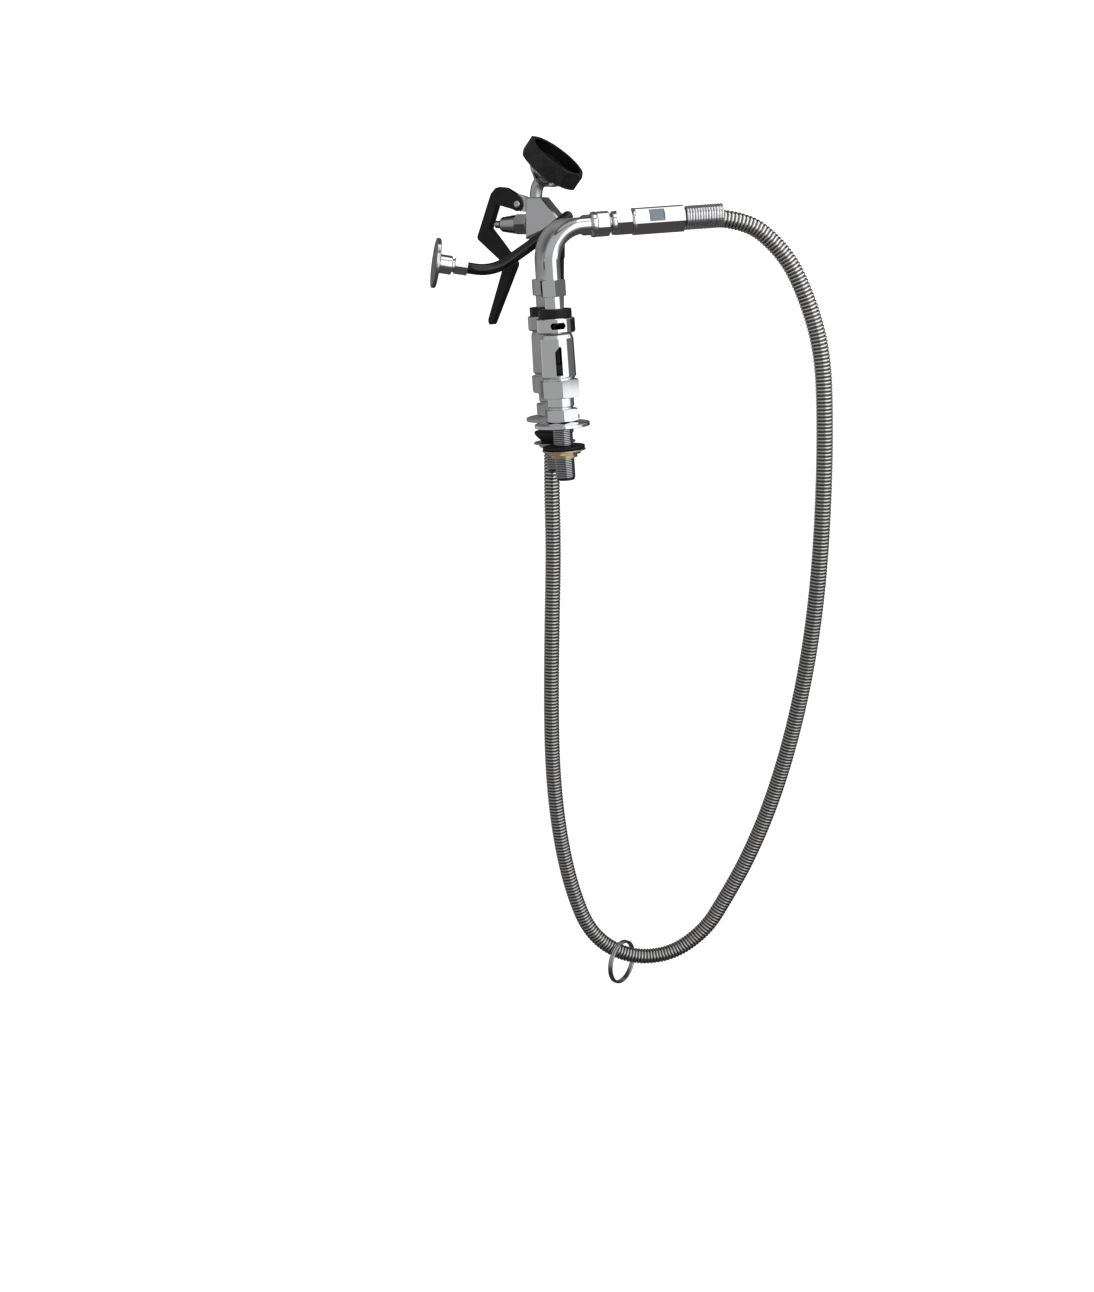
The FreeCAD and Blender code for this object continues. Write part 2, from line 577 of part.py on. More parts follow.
def outlet():
    """Pieces on the level outlet. Each is built along its own Z and laid along X."""
    branch_angle = math.degrees(math.atan2(read("riser_spacing"), read(TEE_CENTRE)))
    tee = hex_piece("tee_hexagon", "nut_flats", "tee_start", "tee_length", "bore_radius", OUTLET, ALONG,
                    "90")
    PARTS.remove(tee)
    side_port = doc.addObject("Part::Cylinder", "tee_branch")
    bind(side_port, "Radius", "branch_radius")
    bind(side_port, "Height", "branch_reach")
    side_bore = doc.addObject("Part::Cylinder", "tee_branch_bore")
    bind(side_bore, "Radius", "bore_radius - 1")
    bind(side_bore, "Height", "branch_reach + 1")
    socket = doc.addObject("Part::Cylinder", "tee_branch_socket")
    bind(socket, "Radius", "pipe_radius + slip_gap")
    bind(socket, "Height", "socket_depth + 1")
    through = doc.addObject("Part::Cylinder", "tee_through")
    bind(through, "Radius", "bore_radius")
    bind(through, "Height", "tee_length + 2")
    entry = doc.addObject("Part::Cylinder", "tee_entry")
    bind(entry, "Radius", "pipe_radius + slip_gap")
    bind(entry, "Height", "socket_depth - 2 + 20")
    toward = FreeCAD.Vector(-read(TEE_CENTRE), read("riser_spacing"), 0)
    toward.normalize()
    turn = FreeCAD.Rotation(FreeCAD.Vector(0, 0, 1), toward)
    centre = (TEE_CENTRE, "0", "outlet_height")
    for piece in (side_port, side_bore):
        place(piece, centre)
        piece.Placement.Rotation = turn
    place(socket, ("%s + %.9g * ( branch_reach - socket_depth )" % (TEE_CENTRE, toward.x),
                   "%.9g * ( branch_reach - socket_depth )" % toward.y, "outlet_height"))
    socket.Placement.Rotation = turn
    place(through, ("tee_start - 1", "0", "outlet_height"), ALONG, "90")
    place(entry, ("tee_start - 20", "0", "outlet_height"), ALONG, "90")
    solid = doc.addObject("Part::MultiFuse", "tee_solid")
    solid.Shapes = [tee, side_port]
    hollow = doc.addObject("Part::MultiFuse", "tee_hollow")
    hollow.Shapes = [through, side_bore, socket, entry, doc.getObject("front_elbow_outer")]
    cut = doc.addObject("Part::Cut", "outlet_tee_cut")
    cut.Base = solid
    cut.Tool = hollow
    keep(cut, "outlet_tee")

    nipple = new_body("swivel_nipple", OUTLET, ALONG, "90")
    seat = COUPLING_START + " + 6"
    turned(nipple, [("bore_radius", TEE_END), ("nipple_radius", TEE_END),
                    ("nipple_radius", TEE_END + " + 1.6"),
                    ("nipple_radius - 1.8", TEE_END + " + 2.6"),
                    ("nipple_radius - 1.8", COUPLING_START + " - 1"),
                    ("nipple_radius", COUPLING_START), ("nipple_radius", seat), ("bore_radius", seat)])

    coupling = hex_piece("coupling_nut", "nut_flats", COUPLING_START, "coupling_length", "bore_radius",
                         OUTLET, ALONG, "90")
    turned(coupling, [("0", COUPLING_START + " - 1"), ("nipple_radius + slip_gap", COUPLING_START + " - 1"),
                      ("nipple_radius + slip_gap", seat), ("0", seat)], cut=True)
    neck = COUPLING_START + " + coupling_length"
    turned(coupling, [("bore_radius", neck + " - 1"), ("nipple_radius - 0.6", neck + " - 1"),
                      ("nipple_radius - 0.6", neck + " + 4"), ("bore_radius", neck + " + 4")])

    sleeve = hex_piece("swivel_sleeve", "sleeve_flats", SLEEVE_START, "sleeve_length", "bore_radius",
                       OUTLET, ALONG, "90", top=False, sides=10, phase=18.0)
    turned(sleeve, [("0", SLEEVE_START + " - 1"), ("nipple_radius - 0.6 + 0.08", SLEEVE_START + " - 1"),
                    ("nipple_radius - 0.6 + 0.08", neck + " + 4.1"), ("0", neck + " + 4.1")], cut=True)
    turned(sleeve, [("0", SLEEVE_END + " - hose_seat"), ("sleeve_bore", SLEEVE_END + " - hose_seat"),
                    ("sleeve_bore", SLEEVE_END + " + 1"), ("0", SLEEVE_END + " + 1")], cut=True)
    middle = SLEEVE_START + " + marker_place"
    near, far = middle + " - marker_length / 2", middle + " + marker_length / 2"
    flat = [("-marker_width / 2", near), ("marker_width / 2", near),
            ("marker_width / 2", far), ("-marker_width / 2", far)]
    sunk(sleeve, "YZ_Plane", flat, "5", "marker_floor", flip=True)

    marker = new_body("sleeve_marker", OUTLET, ALONG, "90")
    half = "marker_width / 2 - 0.15"
    plug = [("-(%s)" % half, near + " + 0.15"), (half, near + " + 0.15"),
            (half, far + " - 0.15"), ("-(%s)" % half, far + " - 0.15")]
    raised(marker, "YZ_Plane", plug, "marker_thick", "marker_floor")
    facing = FreeCAD.Rotation(FreeCAD.Vector(1, 0, 0), -116)
    for piece in (sleeve, marker):
        piece.Placement.Rotation = facing * piece.Placement.Rotation
    return branch_angle


riser("front", "0")
riser("rear", "riser_spacing")
heading = -math.degrees(math.atan2(read("riser_spacing"), read(TEE_CENTRE)))
elbow("front", "0", "tee_start + socket_depth - 2.05", "0")
elbow("rear", "riser_spacing",
      "sqrt(riser_spacing ^ 2 + (" + TEE_CENTRE + ") ^ 2) - branch_reach + socket_depth - 0.05",
      "%.9g" % heading)
outlet()

LEAN = FreeCAD.Rotation(FreeCAD.Vector(0, 1, 0), read("sprayer_lean"))
TURN = FreeCAD.Rotation(FreeCAD.Vector(0, 0, 1), read("sprayer_turn"))
SPRAYER = (("sprayer_x", "sprayer_y", "sprayer_z"), LEAN * TURN)
DIP = FreeCAD.Rotation(FreeCAD.Vector(0, 1, 0), 90 + read("hook_dip"))
YAW = FreeCAD.Rotation(FreeCAD.Vector(0, 0, 1), read("hook_yaw"))
HOOK = (("hook_x", "hook_y", "hook_z"), YAW * DIP)


def world(group, local):
    """Expressions of the world place of a local point of a turned group of pieces."""
    origin, turn = group
    steps = [turn.multVec(FreeCAD.Vector(*unit)) for unit in ((1, 0, 0), (0, 1, 0), (0, 0, 1))]
    parts = []
    for number, start in enumerate(origin):
        text = start
        for step, along in zip(steps, local):
            if along != "0" and abs(step[number]) > 1e-12:
                text += " + %.12g * (%s)" % (step[number], along)
        parts.append(text)
    return parts


def in_group(thing, group, local=("0", "0", "0"), turn=FreeCAD.Rotation()):
    place(thing, world(group, local))
    thing.Placement.Rotation = group[1] * turn


def biarc_free_arc(start, corner, end):
    """A circular arc that leaves start toward corner and arrives at end from corner."""
    chord = (start + end) * 0.5
    half = corner.sub(start).getAngle(end.sub(start))
    middle = chord + corner.sub(chord) * (math.tan(half / 2) / math.tan(half))
    return Part.Arc(start, middle, end).toShape()


def rounded_path(points, label):
    """Straight runs joined by tangent arcs; prints every bend radius."""
    edges = []
    radii = []
    last = points[0]
    for before, corner, after in zip(points, points[1:], points[2:]):
        back = before.sub(corner)
        ahead = after.sub(corner)
        cut = 0.45 * min(back.Length, ahead.Length)
        turn = math.pi - back.getAngle(ahead)
        radii.append(cut / math.tan(turn / 2))
        start = corner + back.normalize() * cut
        end = corner + ahead.normalize() * cut
        edges.append(Part.makeLine(last, start))
        edges.append(biarc_free_arc(start, corner, end))
        last = end
    edges.append(Part.makeLine(last, points[-1]))
    print(label, "bend radii", [round(radius) for radius in radii])
    return Part.Wire(edges)


def bent_bar(path, radius):
    """A round bar along a path."""
    first = path.Edges[0]
    start = first.valueAt(first.FirstParameter)
    section = Part.Wire(Part.makeCircle(radius, start, first.tangentAt(first.FirstParameter)))
    return path.makePipeShell([section], True, False)


def in_code(name, shape, turn=None, base=(0, 0, 0)):
    """A piece whose shape is worked out in code."""
    feature = doc.addObject("Part::Feature", name)
    feature.Shape = shape
    feature.Placement = FreeCAD.Placement(FreeCAD.Vector(*base), turn or FreeCAD.Rotation())
    return keep(feature, name)


def points_of(rows):
    return [FreeCAD.Vector(*row) for row in rows]


def sprayer():
    upright = FreeCAD.Rotation()
    leftward = FreeCAD.Rotation(FreeCAD.Vector(0, 1, 0), -90)
    sideways = FreeCAD.Rotation(FreeCAD.Vector(1, 0, 0), -90)
    tilted = FreeCAD.Rotation(FreeCAD.Vector(0, 1, 0), read("head_tilt"))

    casting = new_body("casting_block")
    PARTS.remove(casting)
    raised(casting, "XZ_Plane", [("-body_left", "7"), ("13.5", "24.8"), ("15.6", "29"), ("-9.9", "56"),
                                 ("-body_left", "56")],
           "body_half_width * 2", centred=True)
    doc.recompute()
    slab = casting.Tip
    rim = casting.newObject("PartDesign::Chamfer", "casting_edges")
    long_edges = []
    for number, edge in enumerate(slab.Shape.Edges, start=1):
        ends = [vertex.Point for vertex in edge.Vertexes]
        flat = all(abs(abs(end.y) - read("body_half_width")) < 0.01 for end in ends)
        if len(ends) == 2 and flat and abs(ends[0].y - ends[1].y) < 0.01:
            long_edges.append("Edge%d" % number)
    rim.Base = (slab, long_edges)
    bind(rim, "Size", "body_half_width * 0.16")
    casting.Tip = rim
    raised(casting, "XZ_Plane", [("1 - body_left", "38"), ("1 - body_left", "55"), ("-36", "57.5"),
                                 ("-44", "59.8"),
                                 ("-50", "58"), ("-53", "52"), ("-52", "46"), ("-48", "41.5"),
                                 ("-42", "40")],
           "tongue_half_width * 2", centred=True)
    turned(casting, [("0", "grip_top"), ("boss_radius", "grip_top"), ("boss_radius", "boss_top"),
                     ("0", "boss_top")])
    turned(casting, [("0", "grip_top - 1"), ("stem_radius + slip_gap", "grip_top - 1"),
                     ("stem_radius + slip_gap", "stem_top"),
                     ("body_passage", "stem_top"), ("body_passage", "valve_z + 2"), ("0", "valve_z + 2")],
                     cut=True)
    cavity = doc.addObject("Part::Cylinder", "valve_cavity_bore")
    bind(cavity, "Radius", "valve_cavity")
    bind(cavity, "Height", "body_left - 13")
    place(cavity, ("-14", "0", "valve_z"))
    cavity.Placement.Rotation = leftward
    feed = doc.addObject("Part::Cylinder", "feed_bore")
    bind(feed, "Radius", "body_passage")
    feed.Height = 16
    place(feed, ("1", "0", "valve_z"))
    feed.Placement.Rotation = leftward
    rise = doc.addObject("Part::Cylinder", "rise_bore")
    bind(rise, "Radius", "neck_bore")
    bind(rise, "Height", "46 - valve_z")
    place(rise, ("-22.5", "0", "valve_z"))
    neck_socket = doc.addObject("Part::Cylinder", "neck_socket")
    bind(neck_socket, "Radius", "neck_radius + slip_gap")
    neck_socket.Height = 14
    place(neck_socket, ("-22.5", "0", "44"))
    pin_hole = doc.addObject("Part::Cylinder", "pin_hole")
    bind(pin_hole, "Radius", "pivot_radius + slip_gap")
    pin_hole.Height = 20
    place(pin_hole, ("pivot_x", "-10", "pivot_z"))
    pin_hole.Placement.Rotation = sideways
    hollow = doc.addObject("Part::MultiFuse", "casting_hollow")
    hollow.Shapes = [cavity, feed, rise, neck_socket, pin_hole]
    cast = doc.addObject("Part::Cut", "spray_casting")
    cast.Base = casting
    cast.Tool = hollow
    keep(cast, "spray_body")
    in_group(cast, SPRAYER)

    bonnet = new_body("bonnet")
    in_group(bonnet, SPRAYER, ("-body_left", "0", "valve_z"), leftward)
    raised(bonnet, "XY_Plane", regular("bonnet_flats"), "bonnet_collar")
    turned(bonnet, [("0", "-3"), ("valve_cavity - slip_gap", "-3"), ("valve_cavity - slip_gap", "0"),
                    ("bonnet_cone_radius", "0"), ("bonnet_cone_radius", "bonnet_collar + 1"),
                    ("bonnet_tip_radius", "bonnet_length - 2"),
                    ("bonnet_tip_radius - 1.4", "bonnet_length"), ("0", "bonnet_length")])
    turned(bonnet, [("bonnet_flats * 0.487", "bonnet_collar"), ("bonnet_flats", "bonnet_collar"),
                    ("bonnet_flats", "bonnet_collar - 14.6")], cut=True)
    turned(bonnet, [("0", "-4"), ("valve_stem_radius + running_gap", "-4"),
                    ("valve_stem_radius + running_gap", "bonnet_length + 1"),
                    ("0", "bonnet_length + 1")], cut=True)

    stem = new_body("valve_stem")
    in_group(stem, SPRAYER, ("-body_left", "0", "valve_z"), leftward)
    turned(stem, [("0", "-9.6"), ("6.4", "-9.6"), ("6.4", "-7.2"), ("valve_stem_radius", "-6"),
                  ("valve_stem_radius", "44.1"), ("valve_stem_radius - 0.8", "44.9"),
                  ("push_pin_radius", "44.9"), ("push_pin_radius", "stem_reach - 0.8"),
                  ("push_pin_radius - 0.8", "stem_reach"), ("0", "stem_reach")])

    lever = new_body("lever")
    in_group(lever, SPRAYER)
    raised(lever, "XZ_Plane", [
        ("-75.5", "67.4"), ("-69.4", "68.9"), ("-63", "68.1"), ("-48.6", "60.4"), ("-43.6", "57.5"),
        ("-39.6", "52.6"), ("-39", "46.2"), ("-41.6", "41.2"), ("-46", "39.6"), ("-52.4", "42.4"),
        ("-74.6", "48.2"), ("-84.8", "20.3"), ("-67", "0"), ("-54", "-15.6"), ("-49.4", "-20"),
        ("-49.2", "-24.4"), ("-80.6", "-93"), ("-82.6", "-96.2"), ("-85", "-96.4"), ("-86.8", "-94"),
        ("-87.2", "-90"), ("-65.6", "-27"), ("-66.4", "-21"), ("-100.4", "6.4"), ("-101.6", "9.8"),
        ("-82", "60.6")], "lever_half_width * 2", centred=True)
    sunk(lever, "XZ_Plane", [("-58.5", "36"), ("-30", "36"), ("-30", "66"), ("-58.5", "66")],
         "(tongue_half_width + side_gap) * 2", centred=True)
    drilled(lever, "XZ_Plane", "pivot_x", "pivot_z", "pivot_radius + running_gap", "60")

    pin = new_body("lever_pin")
    in_group(pin, SPRAYER, ("pivot_x", "0", "pivot_z"), sideways)
    near = "lever_half_width + 0.15"
    turned(pin, [("0", "-(%s) - pivot_head" % near), ("pivot_head_radius - 0.9",
                                                      "-(%s) - pivot_head" % near),
                 ("pivot_head_radius", "-(%s) - 0.5" % near), ("pivot_head_radius", "-(%s)" % near),
                 ("pivot_radius", "-(%s)" % near),
                 ("pivot_radius", near), ("pivot_head_radius", near),
                 ("pivot_head_radius", near + " + 0.5"),
                 ("pivot_head_radius - 0.9", near + " + pivot_head"), ("0", near + " + pivot_head")])

    neck_points = [(-22.5, 0, 44), (-22.5, 0, 60), (-20.71, 0, 68.93), (-14.736, 0, 76.309)]
    neck_line = rounded_path(points_of(neck_points), "neck")
    neck = bent_bar(neck_line, read("neck_radius")).cut(bent_bar(neck_line, read("neck_bore")))
    origin = FreeCAD.Vector(*[read(part) for part in SPRAYER[0]])
    in_code("neck_pipe", neck, SPRAYER[1], origin)

    cup = new_body("spray_cup")
    in_group(cup, SPRAYER, ("head_x", "0", "head_z"), tilted)
    lip = "bumper_lip_bore - 0.05"
    turned(cup, [("neck_radius + slip_gap + 0.4", "cup_foot"), ("cup_hub_radius - 0.8", "cup_foot"),
                 ("cup_hub_radius", "cup_foot + 0.8"), ("11.6", "-25.6"), ("18", "-21.2"),
                 ("22.4", "-16.4"), (lip, "-12"), (lip, "-9"), ("bumper_bore - 0.1", "-9"),
                 ("bumper_bore - 0.1", "-1"), ("face_radius + 0.1", "-1"), ("face_radius + 0.1", "-3.5"),
                 ("face_radius - 2", "-3.5"), ("face_radius - 2", "-6.6"), ("21.4", "-8.4"),
                 ("19.8", "-14.6"), ("15.6", "-19"), ("9.6", "-21.4"), ("neck_bore", "-22"),
                 ("neck_bore", "cup_rest"), ("neck_radius + slip_gap", "cup_rest")])

    plate = new_body("spray_face")
    in_group(plate, SPRAYER, ("head_x", "0", "head_z"), tilted)
    turned(plate, [("0", "-3.5"), ("face_radius", "-3.5"), ("face_radius", "-3.5 + face_thick - 0.6"),
                   ("face_radius - 0.6", "-3.5 + face_thick"), ("0", "-3.5 + face_thick")])
    for reach, count in ((0.36, 6), (0.66, 12), (0.86, 18)):
        middle = "face_radius * %g" % reach
        hole = drilled(plate, "XY_Plane", middle, "0", "jet_radius", "30")
        patterned(plate, hole, "Z_Axis", count)

    bumper = new_body("bumper_ring")
    in_group(bumper, SPRAYER, ("head_x", "0", "head_z"), tilted)
    raised(bumper, "XY_Plane", regular("bumper_flats", 8, 32.3), "bumper_depth", "-bumper_depth / 2")
    high = "bumper_depth / 2"
    turned(bumper, [("0", "-%s - 1" % high), ("bumper_lip_bore", "-%s - 1" % high),
                    ("bumper_lip_bore", "-9"), ("bumper_bore", "-9"),
                    ("bumper_bore", high + " - 1"), ("bumper_bore + 1", high + " + 1"),
                    ("0", high + " + 1")], cut=True)
    for sign, turn_text in (("", high), ("-", "-" + high)):
        level = sign + "bumper_depth / 2"
        turned(bumper, [("bumper_flats * 0.5", level), ("bumper_flats * 0.6", level),
                        ("bumper_flats * 0.6", "%s(bumper_depth / 2 - 3.4)" % sign)], cut=True)

    pipe = new_body("handle_pipe")
    in_group(pipe, SPRAYER)
    low = "grip_top - grip_length"
    nut_low = low + " - hose_nut_height"
    hose_end = nut_low + " + hose_nut_seat"
    turned(pipe, [("stem_radius - stem_wall", hose_end), ("stem_radius", hose_end),
                  ("stem_radius", "stem_top"),
                  ("stem_radius - stem_wall", "stem_top")])

    grip = new_body("handle_grip")
    in_group(grip, SPRAYER)
    shoulder = "grip_top - grip_collar"
    turned(grip, [("stem_radius + slip_gap", "grip_top"), ("grip_collar_radius - 1.4", "grip_top"),
                  ("grip_collar_radius", "grip_top - 1.4"), ("grip_collar_radius", shoulder),
                  ("grip_radius", shoulder + " - 3"),
                  ("grip_radius", low + " + 2"), ("grip_radius - 2", low), ("stem_radius + slip_gap", low)])

    nut = hex_piece("hose_nut", "hose_nut_flats", nut_low, "hose_nut_height", "stem_radius + slip_gap",
                    ("0", "0", "0"))
    in_group(nut, SPRAYER)
    turned(nut, [("0", nut_low + " - 1"), ("sleeve_bore", nut_low + " - 1"), ("sleeve_bore", hose_end),
                 ("0", hose_end)], cut=True)
    return FreeCAD.Vector(0, 0, read(hose_end))


def wall_hook():
    flange = new_body("wall_flange")
    in_group(flange, HOOK)
    top = "wall_flange_thick - 2"
    turned(flange, [("0", "-2"), ("wall_flange_radius", "-2"), ("wall_flange_radius", top + " - 1"),
                    ("wall_flange_radius - 1", top), ("0", top)])
    hole = drilled(flange, "XY_Plane", "screw_circle", "0", "screw_hole", "30")
    patterned(flange, hole, "Z_Axis", 3)

    hub = new_body("flange_hub")
    in_group(hub, HOOK)
    turned(hub, [("0", top), ("hub_radius", top), ("hub_radius", top + " + hub_length - 3.6"),
                 ("hub_radius - 1", top + " + hub_length - 2.8"),
                 ("hub_radius - 3.4", top + " + hub_length - 2.6"),
                 ("hub_radius - 3.4", top + " + hub_length"), ("0", top + " + hub_length")])

    nut_low = top + " + hub_length"
    nut = hex_piece("hook_nut", "hook_nut_flats", nut_low, "hook_nut_length", "arm_radius + slip_gap + 0.08",
                    ("0", "0", "0"))
    in_group(nut, HOOK)

    start, corner = [FreeCAD.Vector(*[read(part) for part in world(HOOK, ("0", "0", reach))])
                     for reach in (nut_low + " + 0.3", "68.9")]
    level = read("arm_y")
    line = rounded_path([start, corner] + points_of([(-10, level, 206), (37, level, 236.5)]), "hook arm")
    bar = bent_bar(line, read("arm_radius"))
    bar = bar.fuse(Part.makeSphere(read("arm_radius"), FreeCAD.Vector(37, level, 236.5))).removeSplitter()
    in_code("hook_arm", bar)


HOSE_CORNERS = [
    (221, 0, 225), (273, 0, 181), (299, 0, 127), (317, 0, 60), (318, 0, -25), (315, 4, -122),
    (309, 13, -224),
    (298, 28, -327), (279, 45, -431), (253, 62, -528), (222, 76, -608), (192, 87, -666), (164, 95, -714),
    (114, 102, -748), (55, 109, -746), (8, 116, -709), (-13, 120, -640), (-24, 121, -560), (-27, 122, -470),
    (-22, 122, -372), (-14, 122, -272), (-5, 122, -172), (-1, 122, -78),
]


def along_path(path, count):
    """Evenly spaced places on a path with a steady cross axis at each."""
    lengths = [edge.Length for edge in path.OrderedEdges]
    total = sum(lengths)
    places = []
    cross = FreeCAD.Vector(0, 1, 0)
    for number in range(count + 1):
        reach = total * number / count
        for edge, length in zip(path.OrderedEdges, lengths):
            if reach <= length + 1e-6:
                break
            reach -= length
        spot = edge.getParameterByLength(min(reach, length))
        point = edge.valueAt(spot)
        ahead = edge.tangentAt(spot)
        cross = (cross - ahead * cross.dot(ahead)).normalize()
        places.append((point, ahead, cross))
    return places, total


def ring_at(spot, radius):
    point, ahead, cross = spot
    circle = Part.Circle(FreeCAD.Vector(0, 0, 0), FreeCAD.Vector(0, 0, 1), radius).toShape()
    circle.Placement = FreeCAD.Placement(point, FreeCAD.Rotation(cross, ahead.cross(cross), ahead, "ZXY"))
    return Part.Wire(circle)


def hose(nut_end):
    """The ribbed hose with its bore, from the sleeve to the handle."""
    start = FreeCAD.Vector(read(SLEEVE_END + " - hose_seat"), 0, read("outlet_height"))
    origin = FreeCAD.Vector(*[read(part) for part in SPRAYER[0]])
    end = origin + SPRAYER[1].multVec(nut_end)
    near_end = origin + SPRAYER[1].multVec(nut_end - FreeCAD.Vector(0, 0, 79.5))
    path = rounded_path([start] + points_of(HOSE_CORNERS) + [near_end, end], "hose")
    ribs = int(read("rib_count"))
    stations, total = along_path(path, ribs * 8)
    crest = read("hose_radius")
    valley = crest - read("rib_depth")
    wires = [ring_at(stations[0], crest)]
    for rib in range(ribs):
        for step, radius in ((3, crest), (4, valley), (7, valley), (8, crest)):
            wires.append(ring_at(stations[rib * 8 + step], radius))
    solid = Part.makeLoft(wires, True, True)
    bore = Part.makeLoft([ring_at(spot, read("hose_bore")) for spot in stations[::4]], True, True)
    tube = solid.cut(bore)
    section = math.pi * ((crest ** 2 * 0.5 + valley ** 2 * 0.5) - read("hose_bore") ** 2)
    print("hose length", round(total), "volume", round(tube.Volume), "section times length",
          round(section * total))
    in_code("hose", tube)
    return path


def hanging_ring(path):
    """The steel ring that hangs on the lowest part of the hose."""
    places = along_path(path, int(read("rib_count")) * 8)[0]
    low = [place[0] for place in places if place[0].z < -650]
    crests = [place[0] for number, place in enumerate(places) if number % 8 == 1 and place[0].z < -650]
    spot = min(crests, key=lambda point: abs(point.x - 50))
    facing = FreeCAD.Rotation(FreeCAD.Vector(0, 0, 1), FreeCAD.Vector(0.86, 0.51, 0))
    curl = [facing.multVec(FreeCAD.Vector(math.cos(step * 0.1), math.sin(step * 0.1),
                                          0)) * read("ring_radius")
            for step in range(63)]
    centre = spot + FreeCAD.Vector(0, 0, read("hose_radius - ring_radius + ring_wire") - 1)
    clear = read("hose_radius + ring_wire + 0.15")
    while min((centre + reach - point).Length for reach in curl for point in low) < clear:
        centre = centre + FreeCAD.Vector(0, 0, 0.05)
    ring = doc.addObject("Part::Torus", "ring_torus")
    bind(ring, "Radius1", "ring_radius")
    bind(ring, "Radius2", "ring_wire")
    ring.Placement = FreeCAD.Placement(centre, facing)
    keep(ring, "hose_ring")


def spring_guard():
    """The coil guard, one unbroken wire made of short arcs that follow a helix."""
    radius = read("guard_radius")
    turns = int(read("guard_turns"))
    wire = read("guard_wire")
    start = read(SLEEVE_END) + wire + 0.05
    pitch = (read("guard_length") - 2 * wire) / turns

    def helix(turn):
        angle = 2 * math.pi * turn
        point = FreeCAD.Vector(start + pitch * turn, radius * math.sin(angle),
                               read("outlet_height") + radius * math.cos(angle))
        ahead = FreeCAD.Vector(pitch, 2 * math.pi * radius * math.cos(angle),
                               -2 * math.pi * radius * math.sin(angle))
        return point, ahead.normalize()

    edges = []
    for step in range(turns * 4):
        first, away = helix(step / 4)
        second, into = helix((step + 1) / 4)
        gap = second - first
        both = away + into
        spread = 1 - away.dot(into)
        reach = (-gap.dot(both) + math.sqrt(gap.dot(both) ** 2 + 2 * spread * gap.dot(gap))) / (2 * spread)
        first_corner = first + away * reach
        second_corner = second - into * reach
        joint = (first_corner + second_corner) * 0.5
        edges.append(biarc_free_arc(first, first_corner, joint))
        edges.append(biarc_free_arc(joint, second_corner, second))
    path = Part.Wire(edges)
    coil = bent_bar(path, wire)
    print("guard least gap between curls", round(pitch - 2 * wire, 2), "volume", round(coil.Volume),
          "section times length", round(math.pi * wire ** 2 * path.Length))
    in_code("spring_guard", coil)


nut_end = sprayer()
wall_hook()
spring_guard()
hose_path = hose(nut_end)
hanging_ring(hose_path)

doc.recompute()
for thing in doc.Objects:
    if "Invalid" in thing.State or "Error" in thing.State:
        print("FAILED", thing.Name, thing.Label, thing.State, thing.getStatusString())
os.makedirs("parts", exist_ok=True)
for thing in PARTS:
    shape = thing.Shape
    if shape.isNull():
        print("EMPTY", thing.Label)
        continue
    print(thing.Label, shape.isValid(), len(shape.Solids), round(shape.Volume, 1))
    shape.exportStep("parts/%s.step" % thing.Label)
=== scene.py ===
import bpy
import bmesh
import math
from mathutils import Matrix, Vector


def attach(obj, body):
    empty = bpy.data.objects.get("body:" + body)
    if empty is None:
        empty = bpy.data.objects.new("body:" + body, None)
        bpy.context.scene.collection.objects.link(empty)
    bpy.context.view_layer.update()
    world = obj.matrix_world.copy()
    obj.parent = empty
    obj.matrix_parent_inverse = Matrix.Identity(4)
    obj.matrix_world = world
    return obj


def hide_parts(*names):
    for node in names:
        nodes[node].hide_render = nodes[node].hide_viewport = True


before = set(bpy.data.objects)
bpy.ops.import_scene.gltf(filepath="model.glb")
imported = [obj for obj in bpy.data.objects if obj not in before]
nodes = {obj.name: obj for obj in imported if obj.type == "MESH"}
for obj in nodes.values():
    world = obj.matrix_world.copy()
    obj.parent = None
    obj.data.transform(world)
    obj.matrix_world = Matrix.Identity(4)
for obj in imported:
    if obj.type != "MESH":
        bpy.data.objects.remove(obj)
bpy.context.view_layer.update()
print("stage: frame loaded,", len(nodes), "nodes")

mm = 0.001
outletHeight = 225
riserSpacing = 76
# vertices nearer than this are one: in the CAD's triangles and in a piece's own seams
cadWeld = 0.00001
seamWeld = 0.000002
turnToX = Matrix.Rotation(math.radians(90), 4, "Y")


cameraSet = {
    "place": (-0.2500, -1.7602, 0.2182),
    "yaw": 6.9,
    "pitch": 15.2,
    "roll": 4.15,
    "lens": 42.13,
}


def addCamera():
    yaw, pitch, roll = (math.radians(cameraSet[key]) for key in ("yaw", "pitch", "roll"))
    ahead = Vector((math.sin(yaw) * math.cos(pitch), math.cos(yaw) * math.cos(pitch),
                    -math.sin(pitch)))
    level = Vector((math.cos(yaw), -math.sin(yaw), 0))
    above = level.cross(ahead)
    right = level * math.cos(roll) - above * math.sin(roll)
    up = level * math.sin(roll) + above * math.cos(roll)
    camera = bpy.data.objects.new("camera", bpy.data.cameras.new("camera"))
    bpy.context.scene.collection.objects.link(camera)
    turn = Matrix((right, up, -ahead)).transposed().to_4x4()
    camera.matrix_world = Matrix.Translation(cameraSet["place"]) @ turn
    camera.data.lens = cameraSet["lens"]
    camera.data.sensor_width = 36
    camera.data.sensor_fit = "AUTO"
    camera.data.clip_end = 50
    bpy.context.scene.camera = camera


addCamera()


def clearSelection():
    if bpy.context.object and bpy.context.object.mode != "OBJECT":
        bpy.ops.object.mode_set(mode="OBJECT")
    bpy.ops.object.select_all(action="DESELECT")


def pick(piece):
    clearSelection()
    piece.select_set(True)
    bpy.context.view_layer.objects.active = piece


